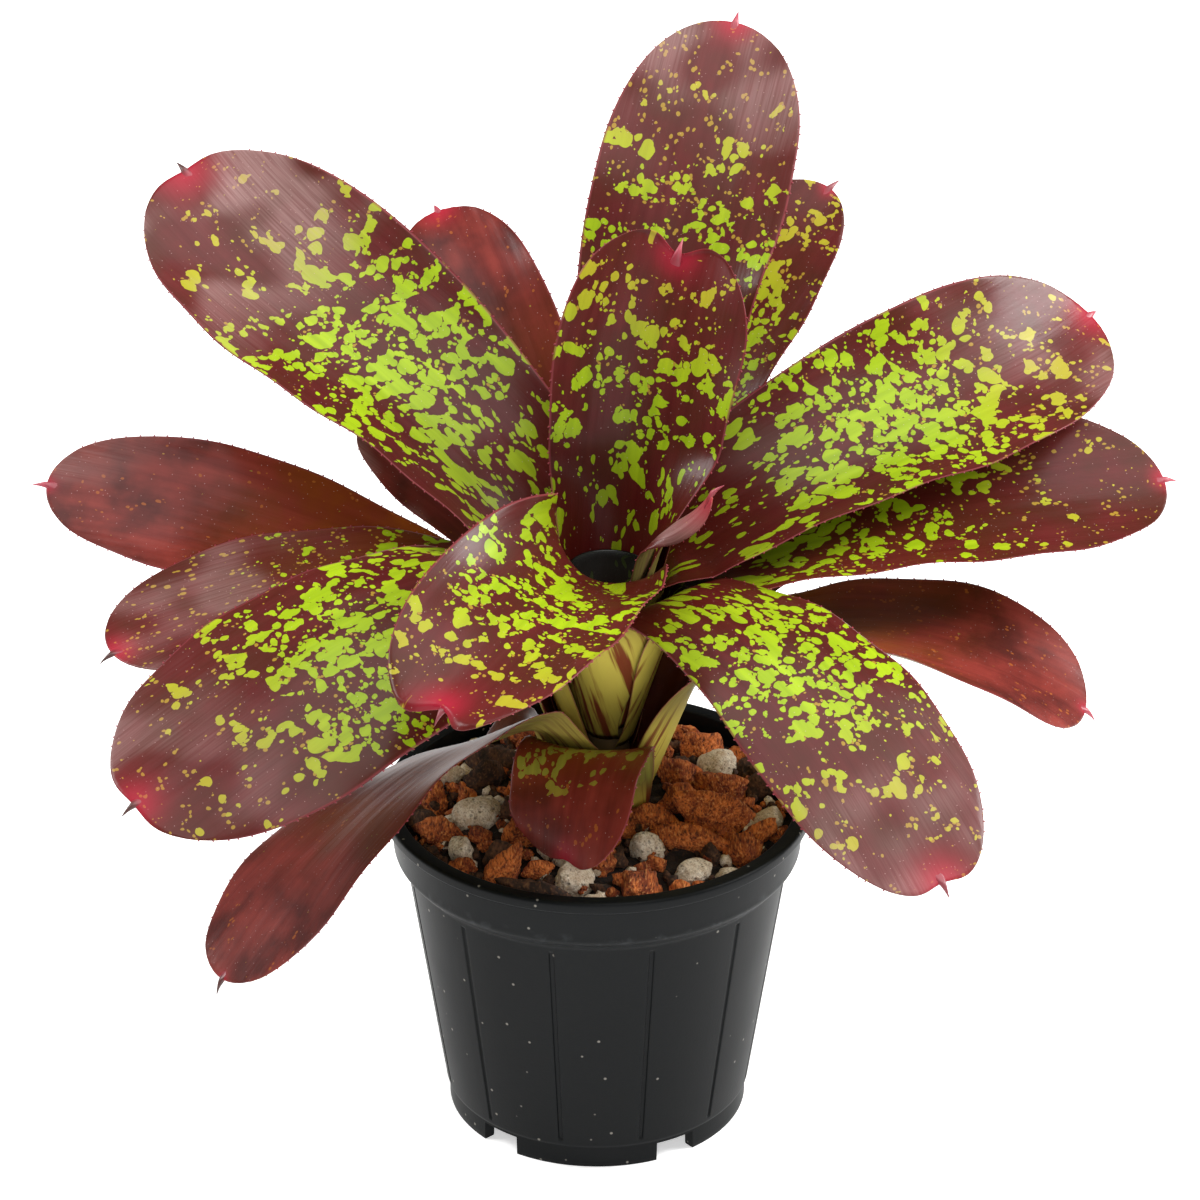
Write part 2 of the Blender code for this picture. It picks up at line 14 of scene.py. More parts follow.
import bmesh
import bpy
import numpy as np
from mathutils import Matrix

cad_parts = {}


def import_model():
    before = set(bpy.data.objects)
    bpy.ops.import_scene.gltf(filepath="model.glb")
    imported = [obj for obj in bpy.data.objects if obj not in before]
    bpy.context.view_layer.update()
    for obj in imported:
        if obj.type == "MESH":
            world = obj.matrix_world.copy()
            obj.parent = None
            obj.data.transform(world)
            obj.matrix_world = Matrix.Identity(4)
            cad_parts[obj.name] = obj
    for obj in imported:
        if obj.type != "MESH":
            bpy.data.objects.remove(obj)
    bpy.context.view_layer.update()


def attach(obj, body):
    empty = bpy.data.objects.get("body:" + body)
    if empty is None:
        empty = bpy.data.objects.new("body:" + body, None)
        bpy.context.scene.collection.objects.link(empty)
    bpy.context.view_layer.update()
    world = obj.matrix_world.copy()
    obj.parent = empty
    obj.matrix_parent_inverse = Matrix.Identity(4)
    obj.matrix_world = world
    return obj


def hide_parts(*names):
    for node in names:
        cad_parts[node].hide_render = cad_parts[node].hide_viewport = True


MM = 0.001
BODY = "root"
LOG = logging.getLogger("neoregelia")
# The plant stands a little off the pot's axis, which runs through x = y = 0.
PLANT_AXIS = (3.0, 7.0)
# Sines summed in an octave of random relief, and pits on a stone.
SINES = 7
PITS = 150
# Metres between the maps of two leaves, and between those of a leaf's two faces.
LEAF_SHIFT = 0.31
UNDER_SHIFT = 0.5

Array = np.ndarray
Socket = bpy.types.NodeSocket
Adder = Callable[..., Socket]
Inputs = dict[str, Socket | float | str]
Coats = list[tuple[Socket, Socket | str]]


def linear(code: str) -> tuple[float, float, float, float]:
    """Turns an sRGB hex colour to linear light.

    Args:
        code: "#rrggbb".

    Returns:
        Red, green, blue and an alpha of one.
    """
    parts = [int(code[at : at + 2], 16) / 255.0 for at in (1, 3, 5)]
    red, green, blue = (c / 12.92 if c <= 0.04045 else ((c + 0.055) / 1.055) ** 2.4 for c in parts)
    return red, green, blue, 1.0


def add_node(
    tree: bpy.types.NodeTree, kind: str, inputs: dict | None = None, out: int | str = 0, **settings
) -> Socket | None:
    """Adds a node with its settings and links.

    Args:
        tree: node tree that takes the node.
        kind: Blender's name of the node's type.
        inputs: for an input's name or number, the socket to link, the value to set, or a hex colour.
        out: name or number of the output to give back.
        **settings: the node's own properties.

    Returns:
        The chosen output socket, or none where the node has no output.
    """
    made = tree.nodes.new(kind)
    for name, value in settings.items():
        setattr(made, name, value)
    for key, value in (inputs or {}).items():
        if isinstance(value, bpy.types.NodeSocket):
            tree.links.new(value, made.inputs[key])
        else:
            made.inputs[key].default_value = linear(value) if isinstance(value, str) else value
    return made.outputs[out] if made.outputs else None


def smooth(x: Array) -> Array:
    """A step from 0 to 1 with level ends: three x squared less two x cubed."""
    x = np.clip(x, 0.0, 1.0)
    return x * x * (3.0 - 2.0 * x)


def unit(vectors: Array) -> Array:
    """Vectors over their own lengths, along the last axis."""
    return vectors / np.maximum(np.linalg.norm(vectors, axis=-1, keepdims=True), 1e-9)


def read_along(at: Array, run: Array, values: Array) -> Array:
    """Vectors read off a line: each part runs straight between its values at the lengths in run.

    Args:
        at: lengths to read at.
        run: lengths of the known vectors.
        values: those vectors.

    Returns:
        Vectors, one for each length in at.
    """
    return np.stack([np.interp(at, run, values[:, part]) for part in range(3)], -1)


def waves(points: Array, rng: np.random.Generator, wavelength: float, octaves: int = 3) -> Array:
    """Smooth random relief: sines along random directions, each octave half as long and as high.

    Args:
        points: places in millimetres, any shape ending in 3.
        rng: seeded source of the directions and phases.
        wavelength: of the first octave.
        octaves: number of octaves.

    Returns:
        Values of about -1 to 1, one for each point.
    """
    total = np.zeros(points.shape[:-1])
    height = 1.0
    for _ in range(octaves):
        ways = unit(rng.normal(size=(SINES, 3))) * (math.tau / wavelength)
        phases = rng.uniform(0.0, math.tau, SINES)
        total += height * np.sin(points @ ways.T + phases).sum(-1) / 4.0
        wavelength *= 0.5
        height *= 0.5
    return total


@dataclass
class Pieces:
    """Points, faces and values that are gathered into one mesh."""

    points: list[Array] = field(default_factory=list)
    faces: list[list[int]] = field(default_factory=list)
    slots: list[int] = field(default_factory=list)
    values: list[dict[str, Array]] = field(default_factory=list)
    count: int = 0

    def add(self, points: Array, faces: list[list[int]], slot: int = 0, **values: Array) -> None:
        """Adds a shell.

        Args:
            points: its points in millimetres.
            faces: corner numbers of each face, outward.
            slot: material slot of its faces.
            **values: one number a point for each named attribute, or one for them all.
        """
        self.points.append(points)
        self.faces += [[corner + self.count for corner in face] for face in faces]
        self.slots += [slot] * len(faces)
        self.values.append({name: np.broadcast_to(value, len(points)) for name, value in values.items()})
        self.count += len(points)

    def make(self, name: str, materials: list[bpy.types.Material]) -> bpy.types.Object:
        """Puts everything into one smooth-shaded object at the origin.

        Args:
            name: of the object.
            materials: by slot.

        Returns:
            The object.
        """
        mesh = bpy.data.meshes.new(name)
        mesh.from_pydata((np.vstack(self.points) * MM).tolist(), [], self.faces)
        for finish in materials:
            mesh.materials.append(finish)
        mesh.polygons.foreach_set("material_index", np.array(self.slots, dtype=np.int32))
        for attribute in sorted(set().union(*self.values)):
            parts = [v.get(attribute, np.zeros(len(p))) for v, p in zip(self.values, self.points)]
            layer = mesh.attributes.new(attribute, "FLOAT", "POINT")
            layer.data.foreach_set("value", np.concatenate(parts).astype(np.float32))
        mesh.shade_smooth()
        mesh.update()
        made = bpy.data.objects.new(name, mesh)
        bpy.context.scene.collection.objects.link(made)
        return made


def settle(piece: bpy.types.Object, slot: str, *nodes: str) -> bpy.types.Object:
    """Rides a piece on the part's body in place of CAD nodes and reports it.

    Args:
        piece: the finished piece.
        slot: a name for its finish; not used.
        *nodes: CAD nodes that it replaces.

    Returns:
        The piece.
    """
    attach(piece, BODY)
    if nodes:
        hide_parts(*nodes)
    LOG.info("%s: %d faces", piece.name, len(piece.data.polygons))
    return piece


def closed_body(
    name: str, grid: Array, top: tuple, bottom: tuple, finish: bpy.types.Material
) -> bpy.types.Object:
    """Closes rings of points into a body: quads join the rings, and fans join the ends to poles.

    Args:
        name: of the object.
        grid: rings by points by 3, from the top down the outside.
        top: pole over the first ring.
        bottom: pole under the last ring.
        finish: its material.

    Returns:
        The object, with faces that look outward.
    """
    index = np.arange(grid[..., 0].size).reshape(grid.shape[:2])
    after = np.roll(index, -1, axis=1)
    faces = np.stack([index[:-1], index[1:], after[1:], after[:-1]], -1).reshape(-1, 4).tolist()
    first, last = np.stack([index[0], after[0]], 1), np.stack([after[-1], index[-1]], 1)
    for pole, pairs in ((index.size, first), (index.size + 1, last)):
        faces += [[pole, *pair] for pair in pairs.tolist()]
    gathered = Pieces()
    gathered.add(np.vstack([grid.reshape(-1, 3), top, bottom]), faces)
    return gathered.make(name, [finish])


def turned(name: str, profile: tuple, sides: int, finish: bpy.types.Material) -> bpy.types.Object:
    """Turns a profile about the plant's axis.

    Args:
        name: of the object.
        profile: radius and height, from the top centre down the outside to the bottom centre.
        sides: number of columns.
        finish: its material.

    Returns:
        The closed body.
    """
    outline = np.array(profile)
    turns = np.linspace(0.0, math.tau, sides, endpoint=False)
    r, z = outline[1:-1, :1] + 0.0 * turns, outline[1:-1, 1:] + 0.0 * turns
    grid = np.stack([PLANT_AXIS[0] + r * np.cos(turns), PLANT_AXIS[1] + r * np.sin(turns), z], -1)
    return closed_body(name, grid, (*PLANT_AXIS, outline[0, 1]), (*PLANT_AXIS, outline[-1, 1]), finish)


# Plant


class Tip(Enum):
    """What a leaf ends in: how dark its spine is, or none."""

    NONE = None
    PINK = 0.15
    OLIVE = 0.6
    DARK = 1.0


@dataclass(frozen=True)
class Patch:
    """A soft oval on a leaf: place and reach as shares of length and half width."""

    along: float
    across: float
    length: float
    breadth: float
    weight: float


@dataclass(frozen=True)
class LeafForm:
    """Sizes of one leaf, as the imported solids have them.

    The sheath wraps the stem, and the blade turns off it over the length of turn. Rise and tip_rise
    are its slopes where it starts and at its tip, and arch lifts the slope between. Sweep turns the
    heading, bank and twist tilt the blade about its midrib, and trough is half the angle that it
    bends through from margin to margin. Waist is its least width as a share of the full one.
    """

    node: str
    rank: int
    azimuth: float
    length: float
    width: float
    sheath: float
    turn: float
    rise: float
    tip_rise: float
    arch: float
    sweep: float
    bank: float
    twist: float
    trough: float
    waist: float
    notch: float = 0.0
    opening: float = 0.0


@dataclass(frozen=True)
class LeafLook:
    """What one leaf's surface shows.

    Old, ground, flecks and bloom run from 0 to 1. Ground is the spots' density outside the ovals,
    blush the reach in millimetres of the red round the spine, bloom_and_sheen_from the share of the length
    where the pale scurf starts, whose soft patches also stand as painted sheen, and curl how far
    the margins turn under at the tip, in millimetres.
    """

    tip: Tip
    old: float = 0.0
    spots: tuple[Patch, ...] = ()
    ground: float = 0.0
    flecks: float = 0.2
    blush: float = 5.0
    bloom: float = 0.0
    bloom_and_sheen_from: float = 0.6
    curl: float = 0.0


@dataclass
class Leaf:
    """A strap leaf: wrapped round the stem at its foot, then a free trough with a rounded end."""

    form: LeafForm
    look: LeafLook
    seed: int
    axis: tuple[float, float] = PLANT_AXIS
    ranks: int = 19
    stem_foot: float = 11.5
    stem_taper: float = 9.0
    lowest: float = 91.0
    climb: float = 49.0
    neck_slope: float = 69.0
    neck_gain: float = 7.0
    rolled_sheath: float = 7.1
    thickness: float = 0.7
    wrap: float = 1.5
    cap_start: float = 0.62
    cap_power: float = 2.3
    end_width: float = 0.5
    sheath_rows: int = 22
    blade_rows: int = 44
    cap_rows: int = 26
    columns: int = 36
    crowding: float = 1.35
    tooth_pitch: float = 4.0
    tooth_length: float = 0.9
    toothed: float = 0.72
    spine_rings: int = 12
    spine_length: float = 9.0
    spine_hook: float = 1.6

    @property
    def share(self) -> float:
        """The leaf's place in the nest, 0 outermost."""
        return self.form.rank / self.ranks

    @property
    def stem_radius(self) -> float:
        """Radius on the stem where the leaf starts."""
        return self.stem_foot - self.stem_taper * self.share

    def blade_share(self, s: Array) -> Array:
        """How far along the free blade s lies, from 0 to 1."""
        return np.clip((s - self.form.sheath) / (self.form.length - self.form.sheath), 0.0, 1.0)

    @staticmethod
    def tangent(slope: Array, heading: Array) -> Array:
        """Unit direction with a slope above level and a heading."""
        level = np.cos(slope)
        return np.stack([level * np.cos(heading), level * np.sin(heading), np.sin(slope)], -1)

    def midrib(self, s: Array) -> tuple[Array, Array, Array]:
        """Sums the midrib's direction along its length.

        The slope turns from the neck's to the blade's own, which runs evenly from rise to tip_rise
        plus a parabola of height arch. The heading turns by sweep times the square of the share.

        Args:
            s: lengths along the midrib.

        Returns:
            Points, slopes and headings at s.
        """
        form = self.form
        neck = self.neck_slope + self.neck_gain * self.share
        steps = np.linspace(0.0, form.length, 300)
        x = self.blade_share(steps)
        blade = form.rise + (form.tip_rise - form.rise) * x + form.arch * 4.0 * x * (1.0 - x)
        slope = np.radians(neck + (blade - neck) * smooth((steps - form.sheath) / form.turn))
        heading = np.radians(form.azimuth + form.sweep * x * x)
        way = self.tangent(slope, heading)
        out = math.radians(form.azimuth)
        x0 = self.axis[0] + self.stem_radius * math.cos(out)
        y0 = self.axis[1] + self.stem_radius * math.sin(out)
        run = np.cumsum((way[1:] + way[:-1]) / 2.0 * (steps[1] - steps[0]), 0)
        path = np.array([x0, y0, self.lowest + self.climb * self.share]) + np.vstack([np.zeros(3), run])
        return read_along(s, steps, path), np.interp(s, steps, slope), np.interp(s, steps, heading)

    def width(self, s: Array) -> Array:
        """Developed width before the end rounds off: the wrap, the waist, then the full width.

        Args:
            s: lengths along the midrib.

        Returns:
            Widths at s.
        """
        form = self.form
        innermost = form.rank == self.ranks - 1
        sheath = self.rolled_sheath if innermost else 2.0 * self.wrap * self.stem_radius
        x = self.blade_share(s) / self.cap_start
        blade = form.width * (form.waist + (1.0 - form.waist) * smooth(x))
        return sheath + (blade - sheath) * smooth(s / form.sheath)

    def grid(self) -> tuple[Array, Array, Array]:
        """Lays a grid on the flat leaf.

        Straight rows run up to the cap. Past it each row is narrower by a cosine, and the rows bend
        into arcs of a superellipse, so that the last one is the rounded end with its notch. Columns
        crowd towards the margins by a sine.

        Returns:
            s and a of each grid point, and its share across from -1 to 1.
        """
        form = self.form
        cap = form.sheath + self.cap_start * (form.length - form.sheath)
        blade_from = min(form.sheath + form.turn, cap - 5.0)
        low = np.linspace(0.0, blade_from, self.sheath_rows + 1)[:-1]
        middle = np.linspace(blade_from, cap, self.blade_rows + 1)[:-1]
        straight = np.concatenate([low, middle])
        v = np.sin(np.linspace(-1.0, 1.0, self.columns + 1) * self.crowding) / math.sin(self.crowding)
        steps = smooth(np.linspace(0.0, 1.0, self.cap_rows + 1)) * 0.35
        steps += np.linspace(0.0, 1.0, self.cap_rows + 1) * 0.65
        w = np.cos(steps * math.acos(self.end_width))[:, None]
        k = steps[:, None] ** 1.5
        edge = (1.0 - w * w) ** (1.0 / self.cap_power)
        full = (1.0 - (w * v) ** 2) ** (1.0 / self.cap_power)
        reach = edge + k * (full - edge)
        notch = form.notch * np.exp(-((v / 0.42) ** 2)) * (k + edge / edge[-1]) / 2.0
        rows = straight[:, None] + 0.0 * v
        s = np.vstack([rows, cap + reach * (form.length - cap) - notch])
        at = np.vstack([rows, cap + edge * (form.length - cap) + 0.0 * v])
        share = np.vstack([np.ones((len(straight), 1)), w])
        return s, v * share * self.width(at) / 2.0, v + 0.0 * s

    def surface(self, s: Array, a: Array) -> Array:
        """Places the flat leaf in space.

        In the nest a point keeps the midrib's height and distance from the plant's axis and turns
        round it by a over that distance. On the blade it lies on an arc across the midrib whose
        half angle is the trough, tilted by bank and twist. The trough loses its opening over the
        first six tenths of the blade. Nest and blade are mixed over the turn.

        Args:
            s: lengths along the midrib.
            a: lengths across it, of the same shape.

        Returns:
            Points with the shape of s and a last axis of 3.
        """
        form = self.form
        shape = s.shape
        s, a = s.ravel(), a.ravel()
        spine, slope, heading = self.midrib(s)
        way = self.tangent(slope, heading)
        side = np.stack([-np.sin(heading), np.cos(heading), 0.0 * heading], -1)
        up = np.cross(way, side)
        free = smooth((s - form.sheath) / (1.4 * form.turn))
        tilt = np.radians(free * (form.bank + form.twist * self.blade_share(s)))[:, None]
        across = side * np.cos(tilt) + up * np.sin(tilt)
        above = up * np.cos(tilt) - side * np.sin(tilt)
        trough = form.trough - form.opening * smooth(self.blade_share(s) / 0.6)
        bend = 2.0 * np.radians(trough) / self.width(s)
        blade = spine + (np.sin(bend * a) / bend)[:, None] * across
        blade += ((1.0 - np.cos(bend * a)) / bend)[:, None] * above
        out = spine[:, :2] - np.array(self.axis)
        radius = np.hypot(out[:, 0], out[:, 1])
        angle = np.arctan2(out[:, 1], out[:, 0]) + np.clip(a / np.maximum(radius, 1.0), -2.4, 2.4)
        x = self.axis[0] + radius * np.cos(angle)
        y = self.axis[1] + radius * np.sin(angle)
        nest = np.stack([x, y, spine[:, 2]], -1)
        free = free[:, None]
        return (nest * (1.0 - free) + blade * free).reshape(shape + (3,))

    def relief(self, s: Array, a: Array, v: Array) -> Array:
        """Height of the blade over its even form, as a sum of sines.

        The margins wave every 34 mm along the leaf, the whole blade every 61 mm along and 40 mm
        across, and ribs run along it 3.1 mm apart. All fade into the sheath, and ribs at the margin.

        Args:
            s: lengths along the midrib.
            a: lengths across it.
            v: share across, from -1 to 1.

        Returns:
            Heights in millimetres.
        """
        rng = np.random.default_rng(self.seed)
        phase = rng.uniform(0.0, math.tau, 5)
        free = smooth((s - self.form.sheath) / (1.6 * self.form.turn))
        edge = 0.5 * np.abs(v) ** 3 * np.sin(math.tau * s / 34.0 + phase[0] + 1.3 * v)
        slow = 0.35 * np.sin(math.tau * s / 61.0 + phase[1]) * np.cos(math.tau * a / 40.0 + phase[2])
        ribs = 0.06 * np.sin(math.tau * a / 3.1 + phase[3])
        return free * (edge + slow + ribs * (1.0 - np.abs(v) ** 6))

    def spotted(self, u: Array, v: Array) -> Array:
        """Density of the green spots: an even ground and soft ovals, each a Gauss curve.

        Args:
            u: share of the length.
            v: share across, from -1 to 1.

        Returns:
            Densities from 0 to 1.
        """
        total = np.full(u.shape, self.look.ground)
        for patch in self.look.spots:
            far = ((u - patch.along) / patch.length) ** 2 + ((v - patch.across) / patch.breadth) ** 2
            total += patch.weight * np.exp(-far)
        return np.clip(total, 0.0, 1.0)

    def build(self, tissue: bpy.types.Material, horn: bpy.types.Material) -> bpy.types.Object:
        """Builds the blade with its teeth and its spine.

        The tissue's half thickness falls to nothing at the margin by a superellipse of power 10,
        and the margins curl under towards the tip.

        Args:
            tissue: finish of the blade.
            horn: finish of teeth and spine.

        Returns:
            The leaf.
        """
        s, a, v = self.grid()
        flat = self.surface(s, a)
        normal = unit(np.cross(np.gradient(flat, axis=0), np.gradient(flat, axis=1)))
        end = np.linspace(0.0, 1.0, len(s))[:, None] + 0.0 * v
        rim = np.maximum(np.abs(v), smooth((end - 0.9) / 0.1))
        curl = self.look.curl * smooth((self.blade_share(s) - 0.72) / 0.28) * rim**3
        middle = flat + normal * (self.relief(s, a, v) - curl)[..., None]
        half = (self.thickness / 2.0 * np.sqrt(np.clip(1.0 - rim**10, 0.0, 1.0)))[..., None]
        upper, lower = middle + normal * half, middle - normal * half
        # Both faces share the points of the rim, so the under side adds its inner points alone.
        inner = np.zeros(s.shape, bool)
        inner[1:-1, 1:-1] = True
        top = np.arange(s.size).reshape(s.shape)
        low = top.copy()
        low[inner] = s.size + np.arange(inner.sum())
        faces = []
        for index, order in ((top, 1), (low, -1)):
            corners = [index[:-1, :-1], index[1:, :-1], index[1:, 1:], index[:-1, 1:]][::order]
            faces += np.stack([corner.ravel() for corner in corners], 1).tolist()
        values = {
            name: np.concatenate([value.ravel(), value[inner]])
            for name, value in self.marks(s, a, v, end).items()
        }
        blade = Pieces()
        blade.add(np.vstack([upper.reshape(-1, 3), lower[inner]]), faces, 0, **values)
        self.add_teeth(blade, middle, normal)
        self.add_spine(blade, middle, normal)
        made = blade.make(self.form.node + "_fine", [tissue, horn])
        self.add_maps(made.data, s, a, inner)
        return made

    def marks(self, s: Array, a: Array, v: Array, end: Array) -> dict[str, Array]:
        """Attributes that the tissue reads, for each point of the grid.

        Blush is a Gauss curve of the distance from the tip, and spots are soft ovals. The others are
        even, or rise in a soft step along the leaf.

        Args:
            s: lengths along the midrib.
            a: lengths across it.
            v: share across, from -1 to 1.
            end: share of the rows passed.

        Returns:
            Values by the attribute's name.
        """
        form, look = self.form, self.look
        along = s / form.length
        from_tip = (form.length - form.notch - s) ** 2 + a**2
        return {
            "spot": self.spotted(along, v),
            "along": along,
            "rim": np.maximum(np.abs(v), smooth((end - 0.93) / 0.07)),
            "blush": 0.7 * np.exp(-(from_tip / look.blush**2)),
            "age": np.full(s.shape, look.old),
            "flecks": np.full(s.shape, look.flecks) * smooth((self.blade_share(s) - 0.1) / 0.4),
            # Pale scurf towards the tip, whose soft patches also stand as painted sheen.
            "bloom": look.bloom * smooth((along - look.bloom_and_sheen_from) / 0.3),
        }

    def add_maps(self, mesh: bpy.types.Mesh, s: Array, a: Array, inner: Array) -> None:
        """Adds the UV maps and the under-side mark.

        Map "blade" is a and s in metres. Map "spots" has s summed over a stretch that falls from 3.6
        at the foot to 1 at six tenths of the leaf, so that spots grow long towards the foot, and a
        widened a little where the leaf is narrow. Each leaf is moved to a place of its own, and its
        under side half a metre on.

        Args:
            mesh: the leaf's mesh, whose upper and under faces come first.
            s: lengths along the midrib.
            a: lengths across it.
            inner: marks the grid's inner points.
        """
        share = s / self.form.length
        stretch = 1.0 + 2.6 * (1.0 - smooth(share / 0.6))
        run = np.cumsum(np.gradient(s[:, 0]) / stretch[:, 0])
        run = np.interp(s, s[:, s.shape[1] // 2], run)
        widen = (self.form.width / self.width(s)) ** 0.35 * (1.4 - 0.4 * smooth(share / 0.5))
        shift = LEAF_SHIFT * self.seed
        blade = np.stack([a * MM + shift, s * MM], -1)
        spots = np.stack([a * widen * MM + shift, run * MM], -1)
        total = len(mesh.vertices)
        corners = np.empty(len(mesh.loops), np.int32)
        mesh.loops.foreach_get("vertex_index", corners)
        sizes = np.empty(len(mesh.polygons), np.int32)
        mesh.polygons.foreach_get("loop_total", sizes)
        flat_faces = (s.shape[0] - 1) * (s.shape[1] - 1)
        under = np.zeros(len(mesh.polygons), np.float32)
        under[flat_faces : 2 * flat_faces] = 1.0
        for name, chart in (("blade", blade), ("spots", spots)):
            at_points = np.zeros((total, 2))
            flat = np.vstack([chart.reshape(-1, 2), chart[inner]])
            at_points[: len(flat)] = flat
            at_corners = at_points[corners]
            at_corners[:, 1] += UNDER_SHIFT * np.repeat(under, sizes)
            layer = mesh.uv_layers.new(name=name)
            layer.data.foreach_set("uv", at_corners.astype(np.float32).ravel())
        mark = mesh.attributes.new("under", "FLOAT", "FACE")
        mark.data.foreach_set("value", under)

    def add_teeth(self, blade: Pieces, middle: Array, normal: Array) -> None:
        """Sets small forward teeth along the margin: four-sided points at an uneven pitch.

        Args:
            blade: gathers the teeth.
            middle: mid surface of the leaf.
            normal: its unit normals.
        """
        rng = np.random.default_rng(self.seed + 500)
        rows = np.arange(len(middle) - 1, -1, -1)
        for column, sign in ((0, 1.0), (-1, -1.0)):
            line = middle[rows, column]
            run = np.concatenate([[0.0], np.cumsum(np.linalg.norm(np.diff(line, axis=0), axis=1))])
            count = int(run[-1] * self.toothed / self.tooth_pitch)
            at = (np.arange(count) + 0.6 + rng.uniform(-0.25, 0.25, count)) * self.tooth_pitch
            root = read_along(at, run, line)
            way = unit(read_along(at - 1.0, run, line) - read_along(at + 1.0, run, line))
            out = unit(np.cross(read_along(at, run, normal[rows, column]), way)) * sign
            face = unit(np.cross(way, out))
            size = self.tooth_length * rng.uniform(0.6, 1.1, (count, 1))
            foot = root - 0.35 * out
            corners = [foot + 0.30 * way, foot + 0.20 * face, foot - 0.30 * way, foot - 0.20 * face]
            points = np.stack([*corners, root + size * unit(out + 0.7 * way)], 1)
            shell = [[0, 1, 4], [1, 2, 4], [2, 3, 4], [3, 0, 4], [3, 2, 1, 0]]
            volume = np.einsum("ij,ij->i", np.cross(way, face), out)
            for tooth, space in zip(points, volume):
                order = shell if space > 0 else [side[::-1] for side in shell]
                blade.add(tooth, order, 1, ripe=0.0, dark=0.0)

    def add_spine(self, blade: Pieces, middle: Array, normal: Array) -> None:
        """Adds the hooked spine: a flattened tube from inside the tip, bent under and drawn to a point.

        Half its length lies in the leaf. The hook is a parabola over its outer half.

        Args:
            blade: gathers the spine.
            middle: mid surface of the leaf.
            normal: its unit normals.
        """
        if self.look.tip is Tip.NONE:
            return
        count = self.spine_rings
        centre = middle.shape[1] // 2
        tip = middle[-1, centre]
        way = unit(tip - middle[-12, centre])
        side = unit(np.cross(way, -unit(normal[-2, centre])))
        under = np.cross(side, way)
        t = np.linspace(0.0, 1.0, count)
        along = self.spine_length * (t - 0.5)
        hook = self.spine_hook * np.clip((t - 0.45) / 0.55, 0.0, 1.0) ** 2
        path = tip + along[:, None] * way + hook[:, None] * under
        knots = [0.0, 0.35, 0.55, 0.75, 1.0]
        broad = np.interp(t, knots, [1.8, 1.4, 0.95, 0.5, 0.08])
        thick = np.interp(t, knots, [0.1, 0.5, 0.8, 0.5, 0.08])
        angle = np.linspace(0.0, math.tau, count, endpoint=False)
        ring = np.cos(angle)[None, :, None] * under * thick[:, None, None]
        ring = ring + np.sin(angle)[None, :, None] * side * broad[:, None, None]
        points = (path[:, None] + ring).reshape(-1, 3)
        index = np.arange(len(points)).reshape(count, count)
        after = np.roll(index, -1, axis=1)
        quads = np.stack([index[:-1], after[:-1], after[1:], index[1:]], -1).reshape(-1, 4)
        faces = quads.tolist() + [index[0, ::-1].tolist(), index[-1].tolist()]
        blade.add(points, faces, 1, ripe=np.repeat(t, count), dark=self.look.tip.value)


# Potting mix and pot


def ball(level: int) -> tuple[Array, list[list[int]]]:
    """Corners and faces of a unit icosphere.

    Args:
        level: 1 for an icosahedron, and each further level splits every face in four.

    Returns:
        Corners, and the corner numbers of each face.
    """
    shape = bmesh.new()
    bmesh.ops.create_icosphere(shape, subdivisions=level, radius=1.0)
    points = np.array([vertex.co[:] for vertex in shape.verts])
    faces = [[vertex.index for vertex in face.verts] for face in shape.faces]
    shape.free()
    return points, faces


def rotation(rng: np.random.Generator, lean: float) -> Array:
    """A turn about the vertical by any angle, then a lean of at most lean radians each way.

    Args:
        rng: seeded source.
        lean: largest lean.

    Returns:
        Matrix that turns column vectors.
    """
    turn, tilt_x, tilt_y = rng.uniform(0.0, math.tau), *rng.uniform(-lean, lean, 2)
    made = np.eye(3)
    for axis, angle in ((2, turn), (0, tilt_x), (1, tilt_y)):
        i, j = (axis + 1) % 3, (axis + 2) % 3
        step = np.eye(3)
        step[i, i] = step[j, j] = math.cos(angle)
        step[j, i] = math.sin(angle)
        step[i, j] = -step[j, i]
        made = step @ made
    return made


class Kind(Enum):
    """What a lump of the mix is."""

    HUSK = "coco husk chip"
    BARK = "pine bark"
    STONE = "pumice"
    PEBBLE = "fired clay"


@dataclass(frozen=True)
class Lump:
    """A listed lump: its kind, its place on the mix and its half sizes."""

    kind: Kind
    x: float
    y: float
    size: float
    height: float


